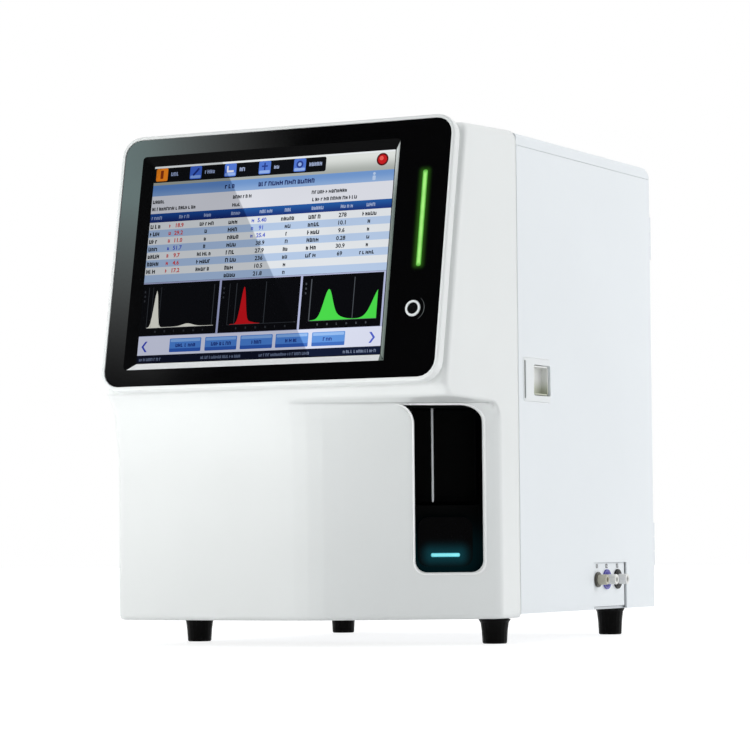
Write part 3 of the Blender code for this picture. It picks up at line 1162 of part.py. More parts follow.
def make_inlet():
    """Mains inlet with its rocker switch above the socket, in one flanged housing."""
    front = REAR_Y - SHEET - INLET_DEPTH
    face = REAR_Y + INLET_FLANGE
    body = box("mains_inlet", (INLET_X - INLET_WIDTH / 2, front, INLET_Z - INLET_HEIGHT / 2),
               (INLET_X + INLET_WIDTH / 2, face - INLET_FLANGE / 2, INLET_Z + INLET_HEIGHT / 2),
               BLACK_MATTE)
    flange = rounded(INLET_WIDTH + 2 * INLET_FLANGE, INLET_HEIGHT + 2 * INLET_FLANGE, INLET_FLANGE,
                     (INLET_X, INLET_Z))
    fuse(body, prism("inlet_flange", flange, REAR_Y + GAP, face, BLACK_MATTE, "Y"))
    socket_z = INLET_Z - INLET_HEIGHT / 4
    socket_width = INLET_WIDTH - 2 * INLET_FLANGE
    socket_height = INLET_HEIGHT / 3
    bevel = socket_height / 3
    left = INLET_X - socket_width / 2
    right = INLET_X + socket_width / 2
    top = socket_z + socket_height / 2
    bottom = socket_z - socket_height / 2
    outline = [(left, bottom), (right, bottom), (right, top - bevel), (right - bevel, top),
               (left + bevel, top), (left, top - bevel)]
    socket_floor = face - INLET_DEPTH * 0.7
    cut(body, prism("inlet_socket", outline, socket_floor, face + OVERRUN, BLACK_MATTE, "Y"))
    blade = GUARD_WIRE
    for index, (across, rise) in enumerate(((-1, -0.4), (1, -0.4), (0, 0.8))):
        x = INLET_X + across * socket_width / 4
        z = socket_z + rise * socket_height / 4
        fuse(body, box(f"inlet_pin_{index + 1}", (x - blade, socket_floor - PLATE, z - 2 * blade),
                       (x + blade, face - INLET_PIN_SET_BACK, z + 2 * blade), BLACK_MATTE))
    rocker_z = INLET_Z + INLET_HEIGHT / 4
    seat = rounded(ROCKER_HEIGHT, ROCKER_WIDTH, GAP * 2, (INLET_X, rocker_z), 2)
    cut(body, prism("rocker_seat", seat, face - ROCKER_DEPTH, face + OVERRUN, BLACK_MATTE, "Y"))
    make_rocker(rocker_z, face)


def make_rocker(rocker_z, face):
    """Two-way rocker lying across the inlet, turning about a vertical pin."""
    half = ROCKER_HEIGHT / 2 - RUNNING_GAP * 3
    rise = ROCKER_WIDTH / 2 - RUNNING_GAP
    pivot = face - ROCKER_DEPTH / 2
    deep = ROCKER_DEPTH / 2 - RUNNING_GAP * 3
    swell = ROCKER_DEPTH / 4
    outline = [(-half, -GAP), (-half, swell), (0, swell * 0.6 + GAP), (half, swell), (half, -GAP),
               (half / 3, -deep), (-half / 3, -deep)]
    points = [(INLET_X + across, pivot + depth + swell / 2) for across, depth in outline]
    rocker = prism("power_switch", points, rocker_z - rise, rocker_z + rise, BLACK_MATTE)
    set_origin(rocker, (INLET_X, pivot, rocker_z))


def make_sockets():
    """Block of data sockets behind the rear panel's window."""
    back = REAR_Y - SHEET - GAP
    half_block = SOCKET_BLOCK_WIDTH / 2
    half_height = SOCKET_BLOCK_HEIGHT / 2
    block = box("socket_block", (SOCKET_BLOCK_X - half_block, back - SOCKET_BLOCK_DEPTH,
                                 SOCKET_BLOCK_Z - half_height),
                (SOCKET_BLOCK_X + half_block, back, SOCKET_BLOCK_Z + half_height), STEEL)
    pitch = (SOCKET_BLOCK_WIDTH - 2 * PANEL_INSET) / SOCKET_COUNT
    half = pitch / 2 - PANEL_INSET
    rise = half_height / 2 - PANEL_INSET
    for index in range(SOCKET_COUNT):
        x = SOCKET_BLOCK_X + pitch * (index - (SOCKET_COUNT - 1) / 2)
        cut(block, box(f"socket_{index + 1}", (x - half, back - SOCKET_DEPTH, SOCKET_BLOCK_Z - rise),
                       (x + half, back + OVERRUN, SOCKET_BLOCK_Z + rise), STEEL))


def make_feet():
    front_x = HALF_WIDTH - FOOT_FRONT_INSET
    front_y_place = SEAM_Y - FOOT_FRONT_TO_SEAM
    rear_x = HALF_WIDTH - FOOT_REAR_INSET
    rear_y_place = REAR_Y - FOOT_REAR_SET_BACK
    places = (("foot_front_left", -front_x, front_y_place, SHELL_BOTTOM_Z),
              ("foot_front_right", front_x, front_y_place, SHELL_BOTTOM_Z),
              ("foot_rear_left", -rear_x, rear_y_place, BASE_Z),
              ("foot_rear_right", rear_x, rear_y_place, BASE_Z))
    for name, x, y, top in places:
        high = top - GAP
        flare = (FOOT_TOP_RADIUS + FOOT_BOTTOM_RADIUS) / 2
        profile = [(0, 0), (FOOT_BOTTOM_RADIUS - FOOT_EDGE, 0), (FOOT_BOTTOM_RADIUS, FOOT_EDGE),
                   (flare - GAP, high / 2), (FOOT_TOP_RADIUS, high - FOOT_EDGE),
                   (FOOT_TOP_RADIUS, high), (0, high)]
        turned(name, profile, (x, y, 0), RUBBER, segments=20)


# Inner structure and fluid unit, seen through the open door
def make_centre_wall():
    top = PANEL_TOP_Z
    start = SEAM_Y + WALL_START
    end = REAR_Y - SHEET - GAP
    wall = box("centre_wall", (WALL_X, start, BASE_SEAT_Z), (WALL_X + PLATE, end, top), ZINC)
    foot = box("wall_foot", (WALL_X - MOTOR_WIDTH / 2, start, BASE_SEAT_Z),
               (WALL_X + PLATE / 2, end, BASE_SEAT_Z + PLATE), ZINC)
    fuse(wall, foot)


def make_electronics():
    """Main board on four standoffs with its larger chips, and the power supply on the base."""
    wall = WALL_X - GAP
    middle = (SEAM_Y + REAR_Y) / 2
    low_z = BOARD_BOTTOM_Z
    board_x = wall - BOARD_STANDOFF
    board = box("main_board", (board_x - BOARD_THICKNESS, middle - BOARD_WIDTH / 2, low_z),
                (board_x, middle + BOARD_WIDTH / 2, low_z + BOARD_HEIGHT), BOARD_GREEN)
    for index, (across_share, rise_share) in enumerate(BOARD_FIXING_SHARES):
        place = (0, middle + BOARD_WIDTH * across_share, low_z + BOARD_HEIGHT * rise_share)
        fuse(board, rod(f"standoff_{index + 1}", BOARD_STANDOFF / 3, board_x - BOARD_THICKNESS / 2, wall,
                        place, BOARD_GREEN, "X", 12))
    half = CHIP_SIZE / 2
    for index, (across_share, rise_share) in enumerate(CHIP_SHARES):
        y = middle + BOARD_WIDTH * across_share
        z = low_z + BOARD_HEIGHT * rise_share
        chip_x = board_x - BOARD_THICKNESS
        fuse(board, box(f"chip_{index + 1}", (chip_x - CHIP_HEIGHT, y - half, z - half),
                        (chip_x + BOARD_THICKNESS / 2, y + half, z + half), BOARD_GREEN))
    left = -HALF_WIDTH + SHEET + MOTOR_WIDTH / 2
    box("power_supply", (left, middle - SUPPLY_DEPTH / 2, BASE_SEAT_Z),
        (left + SUPPLY_WIDTH, middle + SUPPLY_DEPTH / 2, BASE_SEAT_Z + SUPPLY_HEIGHT), ALUMINIUM)


def make_syringes():
    """Two glass barrels on a bracket, with both plungers on one driven yoke."""
    seat = WALL_X + PLATE + GAP
    low_z = SYRINGE_TOP_Z - SYRINGE_LENGTH
    first, last = [SEAM_Y + ENCLOSURE_DEPTH * share for share in SYRINGE_SHARES]
    margin = SYRINGE_RADIUS * 2
    front = SYRINGE_X + SYRINGE_RADIUS * 1.5
    bottom = SYRINGE_BASE_Z
    bracket = box("syringe_bracket", (seat, first - margin, bottom),
                  (seat + PLATE, last + margin, SYRINGE_TOP_Z + YOKE_HEIGHT), ALUMINIUM)
    head = box("syringe_head", (seat + PLATE / 2, first - margin, SYRINGE_TOP_Z),
               (front, last + margin, SYRINGE_TOP_Z + YOKE_HEIGHT), ALUMINIUM)
    fuse(bracket, head)
    shelf = box("syringe_shelf", (seat + PLATE / 2, first - margin, bottom),
                (front, last + margin, bottom + PLATE), ALUMINIUM)
    fuse(bracket, shelf)
    plunger_low = low_z - 2 * YOKE_HEIGHT
    yoke = box("syringe_yoke", (SYRINGE_X - YOKE_HEIGHT / 2, first - YOKE_HEIGHT / 2, plunger_low),
               (SYRINGE_X + YOKE_HEIGHT / 2, last + YOKE_HEIGHT / 2, plunger_low + YOKE_HEIGHT), ALUMINIUM)
    for index, y in enumerate((first, last)):
        centre = (SYRINGE_X, y, 0)
        bore = SYRINGE_RADIUS - SYRINGE_WALL
        barrel_top = SYRINGE_TOP_Z - GAP
        profile = [(bore, low_z), (SYRINGE_RADIUS, low_z), (SYRINGE_RADIUS, barrel_top), (bore, barrel_top)]
        turned(f"syringe_barrel_{index + 1}", profile, centre, CLEAR, segments=SMALL_SEGMENTS)
        seal_low = SYRINGE_TOP_Z - 2 * YOKE_HEIGHT
        rod_low = plunger_low + YOKE_HEIGHT / 2
        seal_top = SYRINGE_TOP_Z - YOKE_HEIGHT
        plunger = [(0, rod_low), (PLUNGER_RADIUS, rod_low), (PLUNGER_RADIUS, seal_low),
                   (bore - GAP, seal_low), (bore - GAP, seal_top), (0, seal_top)]
        fuse(yoke, turned(f"plunger_{index + 1}", plunger, centre, ALUMINIUM, segments=SMALL_SEGMENTS))
    middle = (first + last) / 2
    drive_low = bottom + PLATE + GAP
    drive = rod("syringe_screw", PLUNGER_RADIUS, bottom - PLATE, low_z, (SYRINGE_X, middle, 0), STEEL,
                segments=SMALL_SEGMENTS)
    cut(yoke, rod("yoke_bore", PLUNGER_RADIUS + GAP, plunger_low - OVERRUN, low_z + OVERRUN / 2,
                  (SYRINGE_X, middle, 0), ALUMINIUM, segments=16))
    cut(bracket, rod("bracket_bore", PLUNGER_RADIUS + GAP, bottom - OVERRUN, drive_low + OVERRUN / 2,
                     (SYRINGE_X, middle, 0), ALUMINIUM, segments=16))
    motor_top = bottom - GAP
    motor_outline = rounded(MOTOR_WIDTH, MOTOR_WIDTH, MOTOR_WIDTH / 8, (SYRINGE_X, middle), 2)
    motor = prism("syringe_motor", motor_outline, motor_top - MOTOR_HEIGHT, motor_top, BLACK_MATTE)
    cut(motor, rod("syringe_motor_bore", PLUNGER_RADIUS + RUNNING_GAP, bottom - 2 * PLATE, bottom + OVERRUN,
                   (SYRINGE_X, middle, 0), BLACK_MATTE, segments=16))
    set_origin(drive, (SYRINGE_X, middle, low_z))


def make_baths():
    """Two counting baths in a bracket on the centre wall."""
    seat = WALL_X + PLATE + GAP
    first, last = [SEAM_Y + ENCLOSURE_DEPTH * share for share in BATH_SHARES]
    margin = BATH_RADIUS * 1.5
    shelf_z = BATH_BOTTOM_Z + BATH_HEIGHT / 3
    top = BATH_BOTTOM_Z + BATH_HEIGHT
    bracket = box("bath_bracket", (seat, first - margin, BATH_BOTTOM_Z),
                  (seat + PLATE, last + margin, top), ALUMINIUM)
    shelf = box("bath_shelf", (seat + PLATE / 2, first - margin, shelf_z),
                (BATH_X + margin, last + margin, shelf_z + PLATE), ALUMINIUM)
    fuse(bracket, shelf)
    lip = shelf_z + PLATE + GAP
    for index, y in enumerate((first, last)):
        centre = (BATH_X, y, 0)
        wall = SYRINGE_WALL * 2
        nozzle = TUBE_RADIUS * 2
        profile = [(0, BATH_BOTTOM_Z - nozzle), (nozzle, BATH_BOTTOM_Z - nozzle), (nozzle, BATH_BOTTOM_Z),
                   (BATH_RADIUS - wall, lip - 2 * PLATE), (BATH_RADIUS - wall, lip),
                   (BATH_RADIUS, lip), (BATH_RADIUS, top), (BATH_RADIUS - wall, top),
                   (BATH_RADIUS - wall, lip + wall), (nozzle / 2, BATH_BOTTOM_Z + wall),
                   (0, BATH_BOTTOM_Z + wall)]
        turned(f"counting_bath_{index + 1}", profile, centre, CLEAR, segments=SMALL_SEGMENTS)
        hole = BATH_RADIUS - wall + GAP * 2
        cut(bracket, rod(f"bath_hole_{index + 1}", hole, shelf_z - OVERRUN, shelf_z + OVERRUN, centre,
                         ALUMINIUM, segments=SMALL_SEGMENTS))


def make_valves():
    """Manifold block on the centre wall with a row of valves standing out of it."""
    seat = WALL_X + PLATE + GAP
    middle = (SEAM_Y + REAR_Y) / 2
    length = VALVE_PITCH * VALVE_COUNT
    half = MANIFOLD_HEIGHT / 2
    block = box("valve_manifold", (seat, middle - length / 2, VALVE_Z - half),
                (seat + half, middle + length / 2, VALVE_Z + half), CLEAR)
    for index in range(VALVE_COUNT):
        y = middle + VALVE_PITCH * (index - (VALVE_COUNT - 1) / 2)
        fuse(block, rod(f"valve_{index + 1}", VALVE_RADIUS, seat + MANIFOLD_HEIGHT / 3,
                        seat + half + VALVE_LENGTH, (0, y, VALVE_Z), CLEAR, "X", SMALL_SEGMENTS))


def make_pump():
    seat = WALL_X + PLATE + GAP
    y = SEAM_Y + ENCLOSURE_DEPTH * PUMP_SHARE
    head = PUMP_RADIUS * 1.2
    pump = box("vacuum_pump", (seat, y - head, PUMP_Z - head),
               (seat + PUMP_RADIUS, y + head, PUMP_Z + head), BLACK_MATTE)
    fuse(pump, rod("pump_motor", PUMP_RADIUS, seat + PUMP_RADIUS / 2, seat + PUMP_RADIUS + PUMP_LENGTH,
                   (0, y, PUMP_Z), BLACK_MATTE, "X"))


def make_chamber():
    """Waste chamber standing on the base plate, with a lid and two hose stubs."""
    x = WALL_X + PLATE + CHAMBER_RADIUS * 1.6
    y = SEAM_Y + ENCLOSURE_DEPTH * CHAMBER_SHARE
    low = BASE_SEAT_Z
    high = low + CHAMBER_HEIGHT
    lip = CHAMBER_RADIUS * 1.1
    rim_low = high - YOKE_HEIGHT
    profile = [(0, low), (CHAMBER_RADIUS, low), (CHAMBER_RADIUS, rim_low), (lip, rim_low), (lip, high),
               (0, high)]
    chamber = turned("waste_chamber", profile, (x, y, 0), CLEAR)
    for index, offset_share in enumerate((-0.5, 0.5)):
        stub = (x, y + CHAMBER_RADIUS * offset_share, 0)
        fuse(chamber, rod(f"chamber_stub_{index + 1}", TUBE_RADIUS * 1.5, high - PLATE,
                          high + YOKE_HEIGHT, stub, CLEAR, segments=12))


def main():
    head = empty("display_axes", (0, SEAM_Y - GLASS_TO_SEAM, GLASS_CENTRE_Z), (-DISPLAY_TILT, 0, 0))
    middle = (WINDOW_LEFT + WINDOW_RIGHT) / 2
    bay_x = HALF_WIDTH - middle * math.cos(RECESS_ANGLE)
    bay = empty("bay_axes", (bay_x, wall_y(bay_x), 0), (0, 0, RECESS_ANGLE))
    make_front_shell(bay)
    make_display(head)
    shelf, back = make_bay_liner(bay)
    make_aspirate_key(bay, shelf)
    make_probe_lift(bay, back)
    make_base()
    make_lid()
    make_left_panel()
    make_rear_panel()
    make_posts()
    make_door()
    make_hinges()
    make_latch()
    make_ports()
    make_fan()
    make_inlet()
    make_sockets()
    make_feet()
    make_centre_wall()
    make_electronics()
    make_syringes()
    make_baths()
    make_valves()
    make_pump()
    make_chamber()
    axes = empty("part_axes", (-PORT_REACH / 2, 0, 0))
    for thing in list(bpy.data.objects):
        if thing.parent is None and thing is not axes:
            thing.parent = axes


main()
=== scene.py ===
import json
import math
import random

import bmesh
import bpy
from mathutils import Matrix, Vector
from mathutils.bvhtree import BVHTree

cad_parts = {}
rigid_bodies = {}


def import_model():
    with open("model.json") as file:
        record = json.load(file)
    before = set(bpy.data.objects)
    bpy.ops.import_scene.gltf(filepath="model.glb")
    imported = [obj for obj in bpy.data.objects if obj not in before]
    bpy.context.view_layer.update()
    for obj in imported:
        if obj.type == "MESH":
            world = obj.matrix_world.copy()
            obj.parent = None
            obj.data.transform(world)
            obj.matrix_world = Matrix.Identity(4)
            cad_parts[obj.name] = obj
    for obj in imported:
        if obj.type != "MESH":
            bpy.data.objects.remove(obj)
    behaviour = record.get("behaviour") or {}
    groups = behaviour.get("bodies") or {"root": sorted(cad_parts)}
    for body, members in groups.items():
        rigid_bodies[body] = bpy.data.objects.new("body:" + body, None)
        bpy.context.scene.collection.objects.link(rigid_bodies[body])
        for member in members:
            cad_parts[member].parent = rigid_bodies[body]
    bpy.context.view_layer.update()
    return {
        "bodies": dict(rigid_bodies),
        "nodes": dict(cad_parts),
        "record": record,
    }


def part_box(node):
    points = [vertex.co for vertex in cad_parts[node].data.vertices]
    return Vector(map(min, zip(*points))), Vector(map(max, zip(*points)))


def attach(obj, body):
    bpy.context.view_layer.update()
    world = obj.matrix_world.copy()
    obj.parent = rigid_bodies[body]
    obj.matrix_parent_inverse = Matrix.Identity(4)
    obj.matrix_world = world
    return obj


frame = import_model()
NODES = frame["nodes"]
for old in list(bpy.data.objects):
    if old not in NODES.values() and old not in frame["bodies"].values():
        bpy.data.objects.remove(old, do_unlink=True)

MM = 0.001

# Frames of the display head and of the slanted sample bay, as in the part's source
HEAD_ORIGIN = Vector((-0.0039, -0.189528, 0.2972))
HEAD_RIGHT = Vector((1, 0, 0))
HEAD_INWARD = Vector((0, 0.982548, -0.18601))
HEAD_UP = Vector((0, 0.18601, 0.982548))
BAY_ORIGIN = Vector((0.109972, -0.125308, 0))
BAY_RIGHT = Vector((0.849433, 0.527697, 0))
BAY_INWARD = Vector((-0.527697, 0.849433, 0))
UP = Vector((0, 0, 1))

# Screen in the head's frame: its middle, its size and the depth of its lit face
SCREEN_MIDDLE = (-10.2, -1.5)
SCREEN_SIZE = (211.2, 158.4)
SCREEN_DEPTH = 2.2

# Places of fittings in the part's frame, in metres. PORT_EDGE is the end of a port's collar, and FAN_HOLE
# how far the fan's screws are from its middle.
PORT_Y = (0.0839, 0.1034, 0.1259)
PORT_Z = 0.0465
PORT_EDGE = 0.1436
FAN_X, FAN_Z, FAN_HOLE = -0.0789, 0.290, 0.0385
INLET_X = 0.0761
HINGE_X = 0.1225
SOCKET_X, SOCKET_PITCH = -0.0889, 0.0205
CUP_FOOT = 0.1934
CUP_MIDDLE = 0.2036


def head_point(x, z, depth):
    """World place of a point given in millimetres in the head's frame."""
    return HEAD_ORIGIN + (HEAD_RIGHT * x + HEAD_UP * z + HEAD_INWARD * depth) * MM


def screen_point(across, down, lift):
    """World place of a point in millimetres from the picture's top left corner."""
    x = SCREEN_MIDDLE[0] - SCREEN_SIZE[0] / 2 + across
    z = SCREEN_MIDDLE[1] + SCREEN_SIZE[1] / 2 - down
    return head_point(x, z, SCREEN_DEPTH - lift)


def bay_point(x, depth, z):
    """World place of a point given in millimetres in the slanted bay's frame."""
    return BAY_ORIGIN + (BAY_RIGHT * x + BAY_INWARD * depth + UP * z) * MM


def linear(*values):
    """Linear colour from plain 0 to 255 values."""
    shares = [value / 255 for value in values]
    return tuple(s / 12.92 if s <= 0.04045 else ((s + 0.055) / 1.055) ** 2.4 for s in shares)


# Materials
class NodeKit:
    """A node tree and short ways to add nodes to it."""

    def __init__(self, tree):
        self.tree = tree

    def feed(self, socket, value):
        """Links another node's output to a socket, or sets a plain value on it."""
        if isinstance(value, bpy.types.NodeSocket):
            self.tree.links.new(value, socket)
        else:
            socket.default_value = value

    def node(self, kind, inputs=(), **settings):
        made = self.tree.nodes.new("ShaderNode" + kind)
        for key, value in settings.items():
            setattr(made, key, value)
        for key, value in dict(inputs).items():
            self.feed(made.inputs[key], value)
        return made

    def do(self, operation, first, second=0.0, **settings):
        return self.node("Math", {0: first, 1: second}, operation=operation, **settings).outputs[0]

    def dot(self, first, second):
        return self.node("VectorMath", {0: first, 1: second}, operation="DOT_PRODUCT").outputs["Value"]

    def span(self, value, low, high, to_low=0.0, to_high=1.0, kind="SMOOTHSTEP"):
        inputs = {"Value": value, "From Min": low, "From Max": high, "To Min": to_low, "To Max": to_high}
        return self.node("MapRange", inputs, interpolation_type=kind).outputs[0]

    def mix(self, share, first, second):
        inputs = {"Factor": share, 6: first, 7: second}
        for key in (6, 7):
            if not isinstance(inputs[key], bpy.types.NodeSocket):
                inputs[key] = (*inputs[key], 1.0)
        return self.node("Mix", inputs, data_type="RGBA").outputs[2]


class Look(NodeKit):
    """A Principled material and the node patterns that feed it. Scales are in cycles per metre."""

    def __init__(self, name, colour, roughness, metallic=0.0, fixed=()):
        self.made = bpy.data.materials.new(name)
        self.made.use_nodes = True
        super().__init__(self.made.node_tree)
        self.shader = self.tree.nodes["Principled BSDF"]
        self.colour = Vector(colour)
        self.roughness = roughness
        self.set("Base Color", (*colour, 1.0))
        self.set("Roughness", roughness)
        self.set("Metallic", metallic)
        for socket, value in dict(fixed).items():
            self.set(socket, value)
        self.place = self.node("TexCoord").outputs["Object"]
        self.normal = None

    def set(self, socket, value):
        self.feed(self.shader.inputs[socket], value)

    def noise(self, scale, detail, stretch=(1, 1, 1)):
        vector = self.node("Mapping", {"Vector": self.place, "Scale": stretch}).outputs[0]
        return self.node("TexNoise", {"Vector": vector, "Scale": scale, "Detail": detail}).outputs[0]

    def cells(self, scale):
        return self.node("TexVoronoi", {"Vector": self.place, "Scale": scale}).outputs["Distance"]

    def along(self, origin, direction):
        """Distance in metres from the origin along a direction, in the part's own frame."""
        moved = self.node("VectorMath", {0: self.place, 1: origin}, operation="SUBTRACT").outputs[0]
        return self.dot(moved, direction)

    def vary(self, value, low, high):
        """Stretches the middle of a noise's range over low to high."""
        return self.span(value, 0.3, 0.7, low, high)

    def tone(self, value, depth, base=None):
        """Lightens and darkens the colour, or another one, by a share that follows a 0 to 1 value."""
        source = self.colour if base is None else base
        factor = self.vary(value, 1 - depth, 1 + depth)
        made = self.node("VectorMath", {0: source, "Scale": factor}, operation="SCALE").outputs[0]
        self.set("Base Color", made)

    def wear(self, value, depth):
        """Roughness that follows a 0 to 1 value."""
        self.set("Roughness", self.vary(value, self.roughness - depth, self.roughness + depth))

    def relief(self, value, depth):
        """Adds a bump of that depth in metres to the ones before it."""
        inputs = {"Height": value, "Distance": depth}
        if self.normal is not None:
            inputs["Normal"] = self.normal
        self.normal = self.node("Bump", inputs).outputs[0]
        self.set("Normal", self.normal)

    def skin(self, tone, wear, *reliefs):
        """Noise in colour, roughness and height, each given as a scale, a detail and a depth."""
        self.tone(self.noise(*tone[:2]), tone[2])
        self.wear(self.noise(*wear[:2]), wear[2])
        for scale, detail, depth in reliefs:
            self.relief(self.noise(scale, detail), depth)
        return self


def moulded(name, colour, roughness, grain=2600, depth=0.00003, tone=0.012, fixed=()):
    """Injection-moulded plastic: fine spark-eroded texture, faint flow marks."""
    look = Look(name, colour, roughness, fixed=fixed)
    return look.skin((9, 2, tone), (60, 4, 0.04), (grain, 2, depth))


def painted(name, colour, roughness):
    """Powder-coated sheet: orange peel over faint waviness of the sheet."""
    look = Look(name, colour, roughness)
    return look.skin((6, 2, 0.01), (90, 3, 0.04), (14, 1, 0.0001), (900, 1, 0.00003), (4200, 1, 0.00001))


def brushed(name, colour, roughness, stretch=(1, 1, 40), tone=0.08, grain=300):
    """Brushed or rolled metal: streaks across the stretched axis."""
    look = Look(name, colour, roughness, metallic=1.0)
    streaks = look.noise(grain, 4, stretch)
    look.tone(streaks, tone)
    look.wear(streaks, roughness * 0.4)
    look.relief(streaks, 0.00001)
    return look


# Lit bars: an origin, the directions across and along the bar, and how far its middle is along both
GREEN_BAR = (HEAD_ORIGIN, HEAD_RIGHT, HEAD_UP, (0.1227, 0.0223))
CYAN_BAR = (BAY_ORIGIN, UP, BAY_RIGHT, (0.0681, -0.001))


def bar_sides(look, bar):
    """Distances in metres from the middle of a lit bar, across it and along it."""
    origin, across, along, middle = bar
    start = origin + across * middle[0] + along * middle[1]
    return [look.do("ABSOLUTE", look.along(start, direction)) for direction in (across, along)]


def glow(look, bar, half_sizes, colour, reach, strength):
    """Light that spreads in a surface round a lit bar."""
    squares = []
    for side, half in zip(bar_sides(look, bar), half_sizes):
        outside = look.do("MAXIMUM", look.do("SUBTRACT", side, half), 0.0)
        squares.append(look.do("POWER", outside, 2.0))
    near = look.span(look.do("SQRT", look.do("ADD", *squares)), 0.0, reach, 1.0, 0.0)
    look.set("Emission Color", (*colour, 1.0))
    look.set("Emission Strength", look.do("MULTIPLY", look.do("POWER", near, 2.5), strength))


def fascia_look():
    """Black back-printed glass with faint smears, and the glow of the lamp in it."""
    look = Look("fascia_glass", linear(2, 2, 3), 0.04, fixed={"IOR": 1.5})
    glow(look, GREEN_BAR, (0.0018, 0.036), linear(120, 225, 70), 0.0065, 0.10)
    return look.skin((50, 3, 0.1), (35, 4, 0.01), (400, 2, 0.000002))


def light_look(name, bar, half_sizes, colour, core, strength):
    """Lit light guide: bright core, deeper colour towards its edges."""
    look = Look(name, colour, 0.25)
    side, end = [look.do("DIVIDE", away, half) for away, half in zip(bar_sides(look, bar), half_sizes)]
    edge = look.do("MAXIMUM", look.span(side, 0.35, 1.0), look.span(end, 0.9, 1.0))
    look.set("Emission Color", look.mix(edge, core, colour))
    level = look.vary(look.noise(120, 2), 0.92, 1.05)
    look.set("Emission Strength", look.do("MULTIPLY", level, strength))
    look.relief(look.noise(1500, 1), 0.00001)
    return look


def bay_look(name, colour, roughness, reach, strength):
    """Dark plastic of the bay, lit by the key's lamp."""
    look = moulded(name, colour, roughness, tone=0.08, fixed={"Specular IOR Level": 0.04})
    glow(look, CYAN_BAR, (0.0012, 0.011), linear(60, 200, 225), reach, strength)
    return look


def board_look():
    """Circuit board: solder mask with traces and pads, and black parts on it."""
    look = Look("circuit_board", linear(22, 84, 52), 0.35)
    bend = look.do("MULTIPLY", look.do("SUBTRACT", look.noise(28, 0), 0.5), 0.02)

    def tracks(direction, rate):
        """Bent lines side by side along a direction, at a rate in radians per metre."""
        place = look.do("ADD", look.along(Vector(), direction), bend)
        return look.span(look.do("ABSOLUTE", look.do("SINE", look.do("MULTIPLY", place, rate))), 0.9, 0.95)

    split = look.span(look.noise(22, 0), 0.49, 0.51)
    upright = look.do("MULTIPLY", tracks(Vector((0, 1, 0)), 1700.0), split)
    level = look.do("MULTIPLY", tracks(UP, 1500.0), look.do("SUBTRACT", 1.0, split))
    traces = look.do("ADD", upright, level)
    mask = look.mix(traces, linear(20, 78, 48), linear(44, 122, 70))
    pads = look.span(look.cells(260), 0.10, 0.14, 1.0, 0.0)
    face = look.mix(pads, mask, linear(190, 190, 180))
    height = look.along(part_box("main_board")[0], Vector((1, 0, 0)))
    chip = look.span(height, 0.0029, 0.0031, 1.0, 0.0)
    look.set("Base Color", look.mix(chip, face, linear(24, 24, 26)))
    look.relief(traces, 0.00004)
    return look


# Edge of a reflection painted slanting across the picture on the screen: a point on it, and the direction
# square to it
REFLECTION_EDGE_START = screen_point(60.75, 0, 0)
REFLECTION_EDGE_ACROSS = (HEAD_RIGHT + HEAD_UP * 0.575).normalized()


def screen_tint(name, red, green, blue, low=None, rows=None):
    """One colour of the lit picture, or two that fade into each other down some rows.
    Left of the slanting line the picture is painted darker and deeper, as the shaded side of a reflection
    painted on the glass."""
    look = Look(name, (0.002, 0.002, 0.003), 0.3, fixed={"Specular IOR Level": 0.02})
    # Painted reflection: left of the edge the picture's colours are painted in shade
    side = look.span(look.along(REFLECTION_EDGE_START, REFLECTION_EDGE_ACROSS), -0.0006, 0.0006)

    def with_painted_shade(colour):
        return look.mix(side, tuple(0.67 * value ** 1.25 for value in colour), colour)

    tint = with_painted_shade(linear(red, green, blue))
    if low:
        down = look.along(screen_point(0, rows[0], 0), -HEAD_UP)
        share = look.span(down, 0.0, (rows[1] - rows[0]) * MM)
        tint = look.mix(share, tint, with_painted_shade(linear(*low)))
    look.set("Emission Color", tint)
    look.set("Emission Strength", look.vary(look.noise(14, 1), 0.96, 1.03))
    return look


def clear_look():
    """Moulded clear plastic with a faint haze."""
    glass = {"Transmission Weight": 0.75, "IOR": 1.49}
    look = Look("clear_plastic", linear(232, 238, 240), 0.12, fixed=glass)
    return look.skin((40, 2, 0.03), (140, 3, 0.05), (1200, 2, 0.000008))


def rubber_look():
    """Dark rubber, dull and a little uneven."""
    look = Look("rubber", linear(2, 2, 2), 0.42, fixed={"Specular IOR Level": 0.05})
    return look.skin((120, 4, 0.15), (260, 3, 0.08), (1800, 3, 0.00004))


def zinc_look():
    """Zinc-plated sheet with its spangle."""
    look = Look("zinc_sheet", linear(176, 180, 184), 0.38, metallic=1.0)
    spangle = look.cells(90)
    look.tone(spangle, 0.04)
    look.wear(spangle, 0.03)
    look.relief(look.noise(700, 2), 0.00001)
    return look


def cup_look_with_painted_shade():
    """Grey plastic of the finger cup, with painted shade that makes it a little deeper towards its lower
    end.
    """
    look = moulded("latch_plastic", linear(226, 228, 222), 0.4, tone=0.02)
    rise = look.along(Vector((0, 0, CUP_FOOT)), UP)
    # Painted shade: the cup's lowest 13 mm fade to a darker, more olive grey
    tint = look.mix(look.span(rise, 0.0, 0.013), linear(184, 187, 168), linear(230, 231, 228))
    look.tone(look.noise(60, 3), 0.02, tint)
    return look


def port_look(name, collar, barrel):
    """A port whose collar and barrel differ in colour."""
    look = moulded(name, barrel, 0.34, tone=0.03, fixed={"Specular IOR Level": 0.15})
    across = look.along(Vector((PORT_EDGE, 0, 0)), Vector((1, 0, 0)))
    look.tone(look.noise(70, 2), 0.03, look.mix(look.span(across, -0.00005, 0.00005), collar, barrel))
    return look


def shell_look():
    """White plastic of the front moulding, its edges rounded in the shading."""
    look = moulded("shell_white", WHITE, 0.36)
    rounding = look.node("Bevel", {"Radius": 0.005}, samples=6).outputs[0]
    look.feed(look.normal.node.inputs["Normal"], rounding)
    return look


